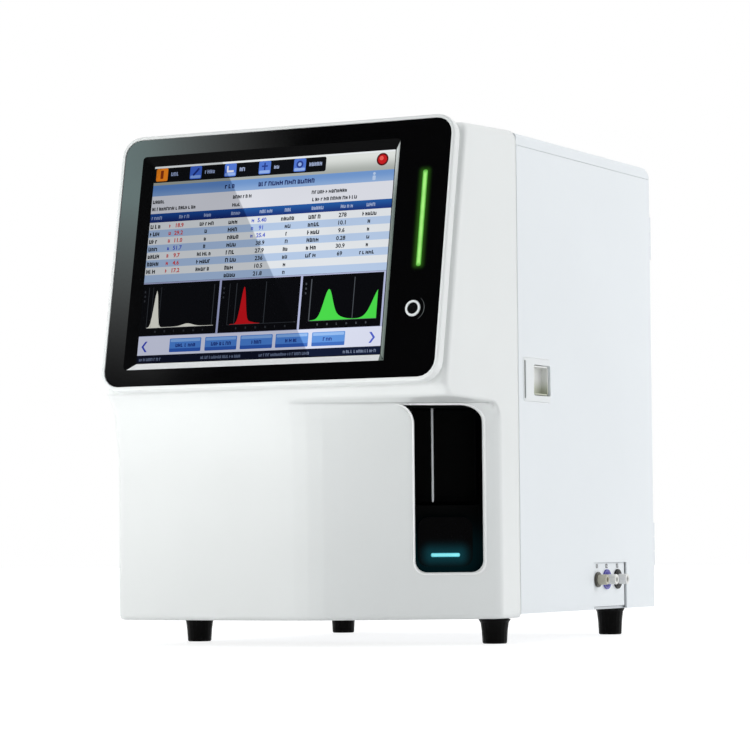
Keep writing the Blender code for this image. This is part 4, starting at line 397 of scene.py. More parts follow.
WHITE = linear(238, 240, 239)
LOOKS = {
    "moulded_white": moulded("moulded_white", WHITE, 0.36),
    "painted_white": painted("painted_white", linear(236, 240, 243), 0.42),
    "black_gloss": moulded("black_gloss", linear(12, 13, 14), 0.08, tone=0.1, depth=0.000002),
    "screen": screen_tint("screen_backlight", 205, 210, 222),
    "zinc_sheet": zinc_look(),
    "green_light": light_look("green_lamp", GREEN_BAR, (0.0018, 0.0373), linear(66, 136, 42),
                              linear(160, 220, 122), 0.92),
    "cyan_light": light_look("cyan_lamp", CYAN_BAR, (0.0014, 0.0111), linear(72, 168, 182),
                             linear(140, 226, 228), 0.9),
    "steel": brushed("stainless_steel", linear(205, 206, 208), 0.24),
    "black_matte": moulded("black_matte", linear(30, 31, 32), 0.5, grain=1600, depth=0.00006, tone=0.08),
    "aluminium": brushed("aluminium", linear(206, 208, 211), 0.36, stretch=(1, 1, 6), tone=0.04, grain=500),
    "clear_plastic": clear_look(),
    "latch_grey": cup_look_with_painted_shade(),
    "blue_plastic": moulded("blue_plastic", linear(38, 104, 190), 0.34, tone=0.05),
    "rubber": rubber_look(),
    "board_green": board_look(),
}
HINGE = painted("hinge_paint", linear(232, 236, 240), 0.4)
# Looks of single pieces that differ from the one of their slot
OWN_LOOKS = {
    "display_fascia": fascia_look(),
    "front_shell": shell_look(),
    "aspirate_key": bay_look("key_gloss", linear(1, 1, 2), 0.3, 0.015, 0.06),
    "bay_liner": bay_look("bay_black", linear(1, 2, 2), 0.45, 0.045, 0.016),
    "button_ring": moulded("ring_white", linear(236, 240, 240), 0.25, tone=0.02),
    "sample_probe": moulded("probe_polished", linear(238, 240, 242), 0.2, tone=0.03),
    "latch_bezel": moulded("latch_white", linear(236, 239, 240), 0.38, tone=0.01),
    # The signal port's dark collar is painted shade round its base
    "port_signal": port_look("port_nickel_painted_shade", linear(92, 90, 84), linear(196, 192, 176)),
    "port_waste": port_look("port_blue", linear(62, 58, 150), linear(236, 236, 232)),
    "port_diluent": port_look("port_black", linear(4, 4, 5), linear(240, 240, 238)),
    "hinge_plate_lower": HINGE,
    "hinge_plate_upper": HINGE,
    "hinge_leaf_lower": HINGE,
    "hinge_leaf_upper": HINGE,
}
for part in frame["record"]["subparts"]:
    node = NODES[part["node"]]
    chosen = OWN_LOOKS.get(part["node"], LOOKS[part["material_slot"]])
    node.data.materials.clear()
    node.data.materials.append(chosen.made)


# Mesh helpers
def add_object(name, data):
    thing = bpy.data.objects.new(name, data)
    bpy.context.scene.collection.objects.link(thing)
    return thing


class Build:
    """A mesh that gathers closed forms, each with the look it is given."""

    def __init__(self, name):
        self.name = name
        self.mesh = bmesh.new()
        self.looks = []

    def index(self, look):
        if look not in self.looks:
            self.looks.append(look)
        return self.looks.index(look)

    def rings(self, rows, look, closed=False):
        """Skins rows of the same number of points, and caps both ends unless it is closed on itself."""
        loops = [[self.mesh.verts.new(point) for point in row] for row in rows]
        index = self.index(look)
        faces = []
        pairs = list(zip(loops, loops[1:]))
        if closed:
            pairs.append((loops[-1], loops[0]))
        for lower, upper in pairs:
            for step in range(len(lower)):
                after = (step + 1) % len(lower)
                faces.append(self.mesh.faces.new((lower[step], lower[after], upper[after], upper[step])))
        if not closed:
            faces.append(self.mesh.faces.new(loops[0]))
            faces.append(self.mesh.faces.new(loops[-1]))
        for face in faces:
            face.material_index = index

    def slab(self, points, offset, look):
        """Closed plate from an outline and the vector to its other face."""
        self.rings([[Vector(p) for p in points], [Vector(p) + Vector(offset) for p in points]], look)

    def turned(self, profile, centre, axis, look, segments=24, closed=False):
        """Revolves (radius, height) pairs about an axis through the centre."""
        axis = Vector(axis).normalized()
        side = axis.orthogonal().normalized()
        front = axis.cross(side)
        rows = []
        for radius, height in profile:
            row = []
            for step in range(segments):
                angle = 2 * math.pi * step / segments
                out = side * math.cos(angle) + front * math.sin(angle)
                row.append(Vector(centre) + out * radius + axis * height)
            rows.append(row)
        self.rings(rows, look, closed)

    def digits(self, text, height, look, place):
        """Plain digits, centred. place turns (right, down, raised or not) into a world point."""
        font = bpy.data.curves.new("digits", "FONT")
        font.body = text
        font.size = height * 1.35
        font.offset = height * 0.035
        font.align_x = "CENTER"
        font.align_y = "CENTER"
        font.resolution_u = 2
        thing = add_object("digits", font)
        bpy.context.view_layer.update()
        flat = bpy.data.meshes.new_from_object(thing.evaluated_get(bpy.context.evaluated_depsgraph_get()))
        bpy.data.objects.remove(thing)
        bpy.data.curves.remove(font)
        glyphs = bmesh.new()
        glyphs.from_mesh(flat)
        bpy.data.meshes.remove(flat)
        bmesh.ops.remove_doubles(glyphs, verts=glyphs.verts, dist=1e-5)
        sides = []
        for raised in (False, True):
            sides.append({v: self.mesh.verts.new(place(v.co.x, -v.co.y, raised)) for v in glyphs.verts})
        lower, upper = sides
        faces = [[side[v] for v in face.verts] for face in glyphs.faces for side in sides]
        for edge in glyphs.edges:
            if edge.is_boundary:
                first, last = edge.verts
                faces.append((lower[first], lower[last], upper[last], upper[first]))
        index = self.index(look)
        for face in faces:
            self.mesh.faces.new(face).material_index = index
        glyphs.free()

    def done(self, body, slot, smooth=True):
        """Makes the piece: an object which rides on a body. The slot is not used."""
        bmesh.ops.recalc_face_normals(self.mesh, faces=self.mesh.faces)
        data = bpy.data.meshes.new(self.name)
        self.mesh.to_mesh(data)
        self.mesh.free()
        for look in self.looks:
            data.materials.append(look.made)
        if smooth:
            data.shade_smooth()
            data.set_sharp_from_angle(angle=math.radians(35))
        thing = add_object(self.name, data)
        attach(thing, body)


def arc(middle, radii, first, last, steps):
    """Points on an ellipse, from one angle to another in degrees."""
    points = []
    for step in range(steps + 1):
        angle = math.radians(first + (last - first) * step / steps)
        points.append((middle[0] + radii[0] * math.cos(angle), middle[1] + radii[1] * math.sin(angle)))
    return points


def rounded(width, height, radius, centre, steps):
    """Outline of a rectangle with round corners."""
    points = []
    for quarter, (side_x, side_y) in enumerate(((1, 1), (-1, 1), (-1, -1), (1, -1))):
        corner = (centre[0] + side_x * (width / 2 - radius), centre[1] + side_y * (height / 2 - radius))
        points += arc(corner, (radius, radius), 90 * quarter, 90 * quarter + 90, steps)
    return points


# Picture on the screen, in millimetres from its top left corner. A tint may fade to a second colour
# between two heights.
TINT_VALUES = {
    "black": (7, 8, 10),
    "panel": (2, 2, 3),
    "grey": (222, 226, 222, (168, 173, 168), (3, 15)),
    "edge_light": (232, 236, 238),
    "white": (218, 220, 228),
    "pale": (222, 226, 230),
    "row": (178, 198, 226),
    "band": (112, 150, 204, (142, 172, 214), (17, 25)),
    "navy": (34, 88, 160, (26, 52, 122), (38, 46)),
    "footer": (218, 222, 240),
    "status": (14, 24, 50),
    "button": (96, 148, 220),
    "button_low": (64, 110, 190),
    "button_top": (150, 188, 238),
    "text": (26, 30, 38),
    "title": (24, 34, 92),
    "faint": (120, 132, 158),
    "pale_text": (158, 172, 204),
    "red": (206, 62, 58),
    "blue": (72, 92, 196),
    "orange": (240, 152, 44),
    "orange_dark": (150, 70, 16),
    "icon": (82, 120, 210),
    "icon_light": (148, 178, 234),
    "icon_dark": (40, 62, 140),
    "curve_white": (232, 232, 224),
    "curve_red": (206, 28, 38),
    "curve_green": (72, 214, 72),
    "line": (74, 78, 84),
    "lamp_dark": (84, 12, 14),
    "lamp": (194, 28, 30),
    "lamp_light": (226, 92, 84),
    "edge": (176, 182, 214),
}
TINTS = {name: screen_tint("ui_" + name, *values) for name, values in TINT_VALUES.items()}
LAYER = 0.05


class Picture(Build):
    """Thin closed tiles on the screen, a layer's thickness apart."""

    def shape(self, outline, layer, tint):
        lower = [screen_point(a, d, layer * LAYER) for a, d in outline]
        upper = [screen_point(a, d, (layer + 1) * LAYER) for a, d in outline]
        self.rings([lower, upper], TINTS[tint])

    def tile(self, left, top, right, bottom, layer, tint, radius=0.0):
        if radius:
            middle = ((left + right) / 2, (top + bottom) / 2)
            self.shape(rounded(right - left, bottom - top, radius, middle, 4), layer, tint)
        else:
            self.shape([(left, top), (right, top), (right, bottom), (left, bottom)], layer, tint)

    def band(self, top, bottom, layer, tint):
        """A tile from one side of the screen to the other."""
        self.tile(0, top, SCREEN_SIZE[0], bottom, layer, tint)

    def disc(self, across, down, radius, layer, tint):
        self.shape(arc((across, down), (radius, radius), 0, 345, 23), layer, tint)

    def words(self, across, down, length, height, layer, tint, seed):
        """A run of letter-like strokes with word gaps, centred on a height. It spells nothing."""
        draw = random.Random(seed)
        place = across
        stroke = height * 0.25
        while place < across + length - height * 0.4:
            wide = height * draw.choice((0.6, 0.7, 0.8))
            top = down - height * draw.choice((0.5, 0.5, 0.36))
            bottom = down + height * 0.5
            self.tile(place, top, place + stroke, bottom, layer, tint)
            if draw.random() < 0.75:
                self.tile(place + wide - stroke, top + height * 0.1, place + wide, bottom, layer, tint)
            middle = draw.choice((top, down - stroke / 2, bottom - stroke))
            self.tile(place + stroke, middle, place + wide - stroke, middle + stroke, layer, tint)
            place += wide + height * 0.14
            if draw.random() < 0.1:
                place += height * 0.3

    def number(self, text, across, down, height, layer, tint):
        def place(right, drop, raised):
            return screen_point(across + right, down + drop, (layer + raised) * LAYER)

        self.digits(text, height, TINTS[tint], place)


# Table on the screen: its rows, and its headings as middles and lengths
ROW_TOP = 45.9
ROW_PITCH = 6.05
HEADINGS = ((5.8, 9), (31.2, 10), (52.0, 7), (77.7, 10), (102.9, 10), (123.3, 7), (148.1, 10),
            (173.1, 10), (193.6, 7))
# Each column: the left of its names, the middles of its values and units, then the values, the first
# letter of each one's ink, and which length its unit has
INKS = {"r": "red", "b": "blue", "t": "text"}
UNIT_LENGTHS = (2.6, 12.5, 5)
COLUMNS = (
    (1.0, 27.0, 51.6, ("18.9", "29.2", "11.0", "51.7", "9.7", "4.6", "17.2"), "rrrbrrr",
     (1, 0, 0, 0, 1, 1, 1)),
    (71.0, 100.5, 123.5, ("5.40", "91", "25.4", "38.9", "27.9", "236", "10.5", "21.8"), "bbbttttt",
     (1, 2, 0, 0, 2, 2, 0, 0)),
    (141.0, 170.3, 193.4, ("278", "10.1", "9.6", "0.28", "30.9", "69"), "tttttt", (1, 0, 0, 0, 0, 1)),
)


def draw_toolbar(picture):
    picture.band(0, 15.4, 1, "grey")
    picture.band(0, 1.4, 2, "edge_light")
    picture.tile(4, 1.6, 152.4, 13.2, 2, "black", 1.6)
    picture.tile(0, 1.6, 6, 13.2, 3, "black")
    for index, (middle, length) in enumerate(((7.1, 6.5), (37.6, 9.5), (68.6, 6), (99.0, 6.5), (129.7, 12))):
        main, light, dark = "icon", "icon_light", "icon_dark"
        if index == 0:
            main, light, dark = "orange", "orange", "orange_dark"
        picture.tile(middle - 5.2, 1.7, middle + 5.2, 12.1, 3, main, 1.2)
        picture.tile(middle - 4.6, 9.2, middle + 4.6, 11.4, 4, light, 0.6)
        if index == 0:
            picture.tile(middle - 1.3, 3.4, middle + 1.3, 10.2, 5, dark, 0.6)
        elif index == 1:
            stroke = [(middle - 2.8, 8.6), (middle + 2.2, 3.2), (middle + 3.4, 4.3), (middle - 1.6, 9.7)]
            picture.shape(stroke, 5, dark)
        elif index == 2:
            picture.tile(middle - 3, 7.2, middle + 3, 8.8, 5, "white")
            picture.tile(middle - 3, 3.6, middle - 1.8, 8.8, 6, "white")
        elif index == 3:
            picture.tile(middle - 0.6, 3.0, middle + 0.6, 9.0, 5, dark)
            picture.tile(middle - 2.6, 5.2, middle + 2.6, 6.4, 5, dark)
        else:
            picture.disc(middle, 6.4, 3.0, 5, dark)
            picture.disc(middle, 6.4, 1.5, 6, light)
        picture.words(middle + 8.2, 6.9, length, 3.0, 3, "pale_text", index)
    picture.disc(200.6, 7.0, 5.0, 2, "lamp_dark")
    picture.disc(200.6, 7.0, 3.7, 3, "lamp")
    picture.disc(199.8, 6.1, 1.7, 4, "lamp_light")


def draw_headings(picture):
    picture.band(15.4, 24.2, 1, "band")
    picture.words(65, 20.0, 8, 3.4, 2, "title", 20)
    picture.words(94.7, 20.0, 48, 3.6, 2, "title", 21)
    picture.disc(194.6, 17.8, 1.1, 2, "row")
    picture.tile(193.3, 19.4, 195.9, 23.0, 2, "row", 0.6)
    picture.band(24.2, 38.4, 1, "white")
    for seed, (left, down, length) in enumerate(((1, 28.9, 12), (1, 34.7, 40), (73, 28.9, 18), (73, 35.2, 8),
                                                 (142, 29.4, 30), (143, 35.2, 38))):
        picture.words(left, down, length, 2.8, 2, "text", 30 + seed)
    picture.band(38.4, 45.6, 1, "navy")
    for seed, (middle, length) in enumerate(HEADINGS):
        picture.words(middle - length / 2, 42.0, length, 2.7, 2, "pale_text", 40 + seed)


def draw_rows(picture):
    for row in range(8):
        top = ROW_TOP + ROW_PITCH * row
        picture.band(top - 0.3, top + ROW_PITCH - 0.3, 1, "row" if row % 2 else "pale")
    for name_left, value_middle, unit_middle, values, colours, units in COLUMNS:
        for row, (value, colour, unit) in enumerate(zip(values, colours, units)):
            down = ROW_TOP + ROW_PITCH * (row + 0.5)
            seed = int(name_left) * 10 + row
            picture.words(name_left, down, 9.5, 3.3, 2, "text", seed)
            picture.number(value, value_middle, down, 3.4, 2, INKS[colour])
            if colour != "t":
                picture.words(value_middle - 9, down, 1.2, 2.7, 2, INKS[colour], seed + 1)
            length = UNIT_LENGTHS[unit]
            picture.words(unit_middle - length / 2, down, length, 3.0, 2, "text", seed + 2)


def bell(middle, width, height, left, right, base, steps):
    """Outline of a filled curve over its base line."""
    points = [(left, base)]
    for step in range(steps + 1):
        across = left + (right - left) * step / steps
        rise = 0
        for centre, spread, tall in zip(middle, width, height):
            rise += tall * math.exp(-((across - centre) / spread) ** 2)
        points.append((across, base - 0.35 - rise))
    points.append((right, base))
    return points


def draw_histograms(picture):
    picture.band(94.2, 137.2, 1, "edge")
    for left, right in ((0, 68.2), (70.0, 139.0), (140.8, 209.6)):
        picture.tile(left, 95.2, right, 136.9, 2, "panel")
    base = 130.6
    picture.shape(bell((12.9, 42.5), (2.6, 6.5), (29.5, 2.2), 6.0, 65.4, base, 60), 3, "curve_white")
    picture.shape(bell((90.6, 97.0), (3.0, 4.5), (29.0, 1.4), 80.0, 106.0, base, 40), 3, "curve_red")
    picture.shape(bell((163.9, 208.0, 169.5), (5.2, 8.4, 8.5), (21.5, 23.5, 3.5), 149.6, 205.6, base, 60), 3,
                  "curve_green")
    for left, right in ((5.6, 65.6), (77.6, 137.2), (148.4, 205.8)):
        picture.tile(left, base, right, base + 0.35, 3, "line")
        for mark in range(1, 7):
            across = left + (right - left) * mark / 7
            picture.words(across - 0.8, base + 3.0, 1.4, 1.7, 3, "line", mark + int(left))
    for across, wide in ((5.6, 0.4), (9.4, 0.3), (16.6, 0.35), (63.9, 0.6), (77.6, 0.4), (83.7, 0.6),
                         (109.5, 0.6), (148.6, 0.9), (185.4, 0.6)):
        picture.tile(across - wide / 2, 98.0, across + wide / 2, base, 3, "line")
    for across in (1.6, 72.0, 143.6):
        for step in range(3):
            picture.words(across, 101.5 + 3.6 * step, 1.4, 1.8, 3, "line", 70 + step)


def draw_footer(picture):
    picture.band(137.2, 152.2, 1, "footer")
    for seed, (middle, length) in enumerate(((42.3, 17), (73.8, 17), (104.8, 8), (135.5, 11), (166.7, 9))):
        picture.tile(middle - 14, 139.6, middle + 14, 150.4, 2, "button_low", 0.8)
        picture.tile(middle - 14, 139.6, middle + 14, 147.6, 3, "button", 0.8)
        picture.tile(middle - 13.2, 140.2, middle + 13.2, 142.4, 4, "button_top", 0.6)
        picture.words(middle - length / 2, 145.2, length, 2.8, 4, "icon_dark", 80 + seed)
    for middle, side in ((5.6, -1), (203.7, 1)):
        tip = middle + side * 2.4
        tail = middle - side * 1.6
        for turn in (-1, 1):
            picture.shape([(tip, 145.4), (tip - side * 1.9, 145.4), (tail - side * 1.1, 145.4 + turn * 4.2),
                           (tail + side * 0.8, 145.4 + turn * 4.2)], 2 + (turn + 1) // 2, "blue")
    picture.band(152.2, SCREEN_SIZE[1], 1, "status")
    for seed, (left, length) in enumerate(((2, 20), (57, 36), (108, 44), (180, 28))):
        picture.words(left, 155.6, length, 2.3, 2, "faint", 90 + seed)


def make_picture():
    picture = Picture("screen_picture")
    picture.tile(-0.05, -0.05, SCREEN_SIZE[0] + 0.05, SCREEN_SIZE[1] + 0.05, 0, "black")
    draw_toolbar(picture)
    draw_headings(picture)
    draw_rows(picture)
    draw_histograms(picture)
    draw_footer(picture)
    picture.done("housing", "screen", smooth=False)


# Round the screen and the sample window
def make_screen_surround():
    """Black slope from the screen out to the glass."""
    surround = Build("screen_surround")
    look = moulded("surround_black", linear(2, 2, 3), 0.5, tone=0.1, fixed={"Specular IOR Level": 0.1})
    inner = rounded(*SCREEN_SIZE, 1.2, SCREEN_MIDDLE, 6)
    outer = rounded(225.9, 171.9, 3.0, (-13.05, -0.25), 6)
    rows = []
    for outline, depth in ((inner, 2.19), (outer, -0.01), (outer, -0.06), (inner, 2.10)):
        rows.append([head_point(x, z, depth) for x, z in outline])
    surround.rings(rows, look, closed=True)
    surround.done("housing", "black_gloss")


def trim_look():
    """Polished strip with a reflection painted in its colour: near white below the screen, and right of it
    darker from its top downwards.
    """
    look = brushed("trim_chrome", linear(222, 226, 226), 0.2, stretch=(1, 30, 30), tone=0.04)
    # Painted reflection: the strip below the screen is near white, the one on its right fades darker
    # downwards
    down = look.along(head_point(0, 84, 0), -HEAD_UP)
    side = look.span(look.along(head_point(95.6, 0, 0), HEAD_RIGHT), 0.0, 0.0004)
    painted_reflection_fade = look.mix(look.span(down, 0.004, 0.05), linear(214, 220, 218), linear(118, 130, 124))
    shade = look.mix(side, linear(250, 251, 252), painted_reflection_fade)
    look.tone(look.noise(300, 4, (1, 30, 30)), 0.03, shade)
    look.set("Metallic", 0.25)
    return look


def make_screen_trim():
    """Polished strips on the slope, below and right of the screen."""
    trim = Build("screen_trim")
    chrome = trim_look()
    left, right = SCREEN_MIDDLE[0] - SCREEN_SIZE[0] / 2, SCREEN_MIDDLE[0] + SCREEN_SIZE[0] / 2
    bottom, top = SCREEN_MIDDLE[1] - SCREEN_SIZE[1] / 2, SCREEN_MIDDLE[1] + SCREEN_SIZE[1] / 2
    low_left = ((left + 0.5, bottom - 0.6), (left - 7.0, bottom - 5.5))
    low_right = ((right + 0.8, bottom - 0.6), (right + 4.5, bottom - 5.5))
    top_right = ((right + 0.8, top - 0.5), (right + 4.5, top + 5.5))
    inner_depth, outer_depth = 1.70, -0.16
    section = ((0, 0), (0.1, 0.1), (0.5, 0.16), (0.9, 0.1), (1, 0), (1, -0.14), (0, -0.14))
    for ends in ((low_right, top_right), (low_left, low_right)):
        rows = []
        for inner, outer in ends:
            row = []
            for share, lift in section:
                x = inner[0] + (outer[0] - inner[0]) * share
                z = inner[1] + (outer[1] - inner[1]) * share
                depth = inner_depth + (outer_depth - inner_depth) * share
                row.append(head_point(x, z, depth - lift))
            rows.append(row)
        trim.rings(rows, chrome)
    trim.done("housing", "steel")


def window_edge():
    """Path round the window in the bay's frame, in millimetres, from the tip of its cusp back to it."""
    left, right, bottom, top = -26.8, 27.8, 53.7, 182.65
    points = arc((left - 13.5, top - 15), (13.5, 15), 90, 0, 8)
    points += arc((left + 9, bottom + 9), (9, 9), 180, 270, 8)
    points += arc((right - 9, bottom + 9), (9, 9), 270, 360, 8)
    points += arc((right - 18, top - 12.6), (18, 12.6), 0, 90, 8)
    for step in range(1, 8):
        points.append((right - 18 + (left - 13.5 - right + 18) * step / 8, top))
    return points


def make_window_bead():
    """Bead on the lip of the sample window, thinner at both ends, whiter than the shell: a painted highlight
    along the lip's rounded edge.
    """
    mesh = NODES["front_shell"].data
    shell = BVHTree.FromPolygons([v.co for v in mesh.vertices], [tuple(p.vertices) for p in mesh.polygons])
    path = []
    for x, z in window_edge():
        hit = shell.ray_cast(bay_point(x, -60, z), BAY_INWARD)[0]
        depth = (hit - BAY_ORIGIN).dot(BAY_INWARD) / MM if hit else 0.0
        path.append(bay_point(x, depth, z))
    last = len(path) - 1
    rows = []
    for index, point in enumerate(path):
        along = (path[min(index + 1, last)] - path[max(index - 1, 0)]).normalized()
        out = (BAY_INWARD - along * BAY_INWARD.dot(along)).normalized()
        side = along.cross(out)
        radius = 0.0008 * min(1.0, 0.3 + index * 0.25, 0.3 + (last - index) * 0.25)
        row = []
        for step in range(8):
            angle = math.pi / 4 * step
            row.append(point + (out * math.cos(angle) + side * math.sin(angle)) * radius)
        rows.append(row)
    bead = Build("window_bead")
    # Painted highlight: the bead is whiter than the shell round it
    bead.rings(rows, moulded("lip_painted_highlight", linear(254, 254, 254), 0.2, tone=0.01))
    bead.done("housing", "moulded_white")


# Screws and fittings on the rear, in the mechanisms, and on the right side and the front
SCREW = brushed("screw_steel", linear(196, 198, 202), 0.28, stretch=(1, 1, 1), tone=0.05)
# Dark cross plate on each screw head: painted shade of the cross recess
CROSS_SHADE = moulded("cross_painted_shade", linear(16, 16, 17), 0.6, tone=0.1)


def add_screw(heads, place, radius):
    """Pan head with a cross of painted shade in it, on a face that looks to the rear."""
    axis = Vector((0, 1, 0))
    profile = ((0.3, -0.1), (0.92, -0.1), (1.0, 0.05), (1.0, 0.3), (0.86, 0.52), (0.6, 0.64), (0.3, 0.68))
    heads.turned([(radius * share, radius * height) for share, height in profile], place, axis, SCREW)
    side = axis.orthogonal().normalized()
    front = axis.cross(side)
    far, near = radius * 0.55, radius * 0.13
    cross = [(far, near), (near, near), (near, far), (-near, far), (-near, near), (-far, near),
             (-far, -near), (-near, -near), (-near, -far), (near, -far), (near, -near), (far, -near)]
    base = Vector(place) + axis * radius * 0.66
    heads.slab([base + side * a + front * b for a, b in cross], axis * radius * 0.05, CROSS_SHADE)


def make_rear_screws():
    """Screws of the panel, the hinge plates, the fan and the mains inlet."""
    heads = Build("rear_screws")
    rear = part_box("rear_panel")[1].y
    for x, heights in ((-0.143, (0.04, 0.21, 0.375)), (0.0, (0.04, 0.375)), (0.104, (0.04, 0.21, 0.375))):
        for z in heights:
            add_screw(heads, (x, rear, z), 0.0034)
    for z in (0.064, 0.086, 0.324, 0.346):
        add_screw(heads, (HINGE_X, rear + 0.0015, z), 0.0024)
    for x in (FAN_X - FAN_HOLE, FAN_X + FAN_HOLE):
        for z in (FAN_Z - FAN_HOLE, FAN_Z + FAN_HOLE):
            add_screw(heads, (x, rear, z), 0.0032)
    for z in (0.0505, 0.0995):
        add_screw(heads, (INLET_X, rear + 0.003, z), 0.0017)
    heads.done("housing", "steel")


def make_socket_contacts():
    """Eight gold contacts under the roof of each data socket."""
    contacts = Build("socket_contacts")
    gold = brushed("gold_contact", linear(222, 184, 96), 0.3, stretch=(1, 40, 1))
    for socket in range(4):
        for step in range(8):
            x = SOCKET_X + (socket - 1.5) * SOCKET_PITCH + (step - 3.5) * 0.00102
            section = ((-0.0002, 0.1158), (0.0002, 0.1158), (0.0002, 0.1155), (-0.0002, 0.1155))
            contacts.slab([(x + side, 0.1946, z) for side, z in section], (0, 0.0052, 0), gold)
    contacts.done("housing", "steel")


def make_thread():
    """A rounded ridge that winds up the lead screw's shaft."""
    low, high, radius, pitch, steps = 0.202, 0.342, 0.0025, 0.004, 18
    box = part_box("lead_screw")
    centre = (box[0] + box[1]) / 2
    section = ((-0.0002, -0.32), (0.0001, -0.26), (0.00018, -0.1), (0.00018, 0.1), (0.0001, 0.26),
               (-0.0002, 0.32))
    rows = []
    for step in range(int((high - low) / pitch * steps) + 1):
        angle = 2 * math.pi * step / steps
        out = Vector((math.cos(angle), math.sin(angle), 0))
        middle = Vector((centre.x, centre.y, low + pitch * step / steps)) + out * radius
        rows.append([middle + out * outward + UP * (upward * pitch) for outward, upward in section])
    thread = Build("lead_screw_thread")
    thread.rings(rows, SCREW)
    thread.done("lead_screw", "steel")


def make_graduations():
    """Printed scale lines round the outer side of both syringes."""
    scale = Build("syringe_scale")
    ink = moulded("scale_ink", linear(20, 22, 26), 0.5, tone=0.05)
    for name in ("syringe_barrel_1", "syringe_barrel_2"):
        low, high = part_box(name)
        centre = (low + high) / 2
        for mark in range(9):
            middle = Vector((centre.x, centre.y, 0.291 + 0.006 * mark))
            reach = 0.5 if mark % 2 else 0.9
            rows = []
            for step in range(9):
                angle = reach * (step / 4 - 1)
                out = Vector((math.cos(angle), math.sin(angle), 0))
                rows.append([middle + out * radius + UP * (rise * 0.0002) for radius, rise in
                             ((0.00748, -1), (0.00762, -1), (0.00762, 1), (0.00748, 1))])
            scale.rings(rows, ink)
    scale.done("housing", "black_matte")


def make_port_fittings():
    """Lock rings round two ports and a plain number above each port."""
    fittings = Build("port_fittings")
    blue = moulded("ring_blue", linear(74, 68, 164), 0.3, tone=0.04)
    black = moulded("ring_black", linear(3, 3, 4), 0.3, tone=0.05, fixed={"Specular IOR Level": 0.15})
    ink = moulded("number_ink", linear(52, 52, 54), 0.5, tone=0.05)
    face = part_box("port_plate")[1].x
    profile = [(0.0063, 0.0), (0.0080, 0.0), (0.0082, 0.0004), (0.0080, 0.0013), (0.0063, 0.0014)]
    for y, look in zip(PORT_Y[1:], (blue, black)):
        fittings.turned(profile, (face, y, PORT_Z), (1, 0, 0), look, 32, closed=True)
    for text, y in zip(("01", "02", "03"), PORT_Y):
        def place(right, drop, raised, y=y):
            return Vector((face + (0.00008 if raised else -0.00002), y + right * MM, 0.0572 - drop * MM))

        fittings.digits(text, 3.6, ink, place)
    fittings.done("housing", "black_matte")


def make_foot_collars():
    """Rims where the feet meet the base."""
    collars = Build("foot_collars")
    profile = [(0.0110, -0.0030), (0.0116, -0.0018), (0.0122, -0.0009), (0.0122, -0.0003), (0.0108, -0.0003)]
    for name in ("foot_front_left", "foot_front_right", "foot_rear_left", "foot_rear_right"):
        low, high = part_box(name)
        centre = ((low.x + high.x) / 2, (low.y + high.y) / 2, high.z)
        collars.turned(profile, centre, (0, 0, 1), LOOKS["rubber"], 32, closed=True)
    collars.done("housing", "rubber")


def side_points(x, outline):
    """World places of an outline on the right side, given as y and z in millimetres."""
    return [Vector((x, y * MM, z * MM)) for y, z in outline]


def make_latch_trim():
    """Bead in the joint round the latch, and a dark strip in its slit that is painted shade."""
    trim = Build("latch_trim")
    white = moulded("latch_bead", linear(240, 243, 245), 0.35, tone=0.01)
    gap_filler = moulded("slit_painted_shade", linear(118, 122, 118), 0.6, tone=0.06)
    low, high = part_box("latch_bezel")
    face = high.x
    centre = ((low.y + high.y) / 2 / MM, (low.z + high.z) / 2 / MM)
    rows = []
    for grow, depth in ((0.15, 0.62), (0.95, 0.62), (0.95, 0.57), (0.5, 0.3), (0.15, 0.1)):
        outline = rounded(50.4 + 2 * grow, 33.6 + 2 * grow, 2.5 + grow, centre, 5)
        rows.append(side_points(face - depth * MM, outline))
    trim.rings(rows, white, closed=True)
    # Painted shade: a dark strip stands in the slit where its shade falls
    slit = rounded(2.8, 29.8, 1.1, (-57.5, CUP_MIDDLE / MM), 4)
    trim.slab(side_points(face - 0.0013, slit), (0.0008, 0, 0), gap_filler)
    trim.done("side_door", "latch_grey")


def make_latch_lip():
    """Thin lip behind the finger cup that closes the window as the cup slides."""
    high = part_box("latch_slider")[1]
    lip = Build("latch_lip")
    look = moulded("lip_grey", linear(236, 238, 236), 0.4, tone=0.02)
    outline = rounded(7, 22.2, 1, (high.y / MM + 2.8, CUP_MIDDLE / MM), 3)
    lip.slab(side_points(high.x - 0.0046, outline), (0.0006, 0, 0), look)
    lip.done("latch", "latch_grey")


def make_port_seal():
    """White strip along the top of the port plate, in the door's notch."""
    low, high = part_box("port_plate")
    look = moulded("seal_white", linear(236, 240, 243), 0.45, tone=0.02)
    gap_filler = Build("port_seal")
    foot, top = high.z + 0.00005, high.z + 0.00062
    strip = ((low.y, foot), (high.y, foot), (high.y, top), (low.y, top))
    gap_filler.slab([(high.x - 0.0010, y, z) for y, z in strip], (0.0009, 0, 0), look)
    gap_filler.done("housing", "painted_white")


def make_button_arc():
    """Thin grey mark that curves round the right of the ring button, a painted highlight of the rim round
    the button.
    """
    mark = Build("button_arc")
    # Painted highlight: a grey arc on the black glass
    look = moulded("arc_painted_highlight", linear(96, 100, 100), 0.4, tone=0.03)
    rows = []
    for step in range(25):
        angle = math.radians(-62 + 112 * step / 24)
        width = 0.22 * math.sin(math.pi * (step + 0.5) / 25) + 0.03
        row = []
        for side, lift in ((-1, -0.02), (1, -0.02), (1, 0.04), (-1, 0.04)):
            radius = 9.6 + side * width
            row.append(head_point(120.8 + radius * math.cos(angle), -47.2 + radius * math.sin(angle), -lift))
        rows.append(row)
    mark.rings(rows, look)
    mark.done("housing", "black_gloss")


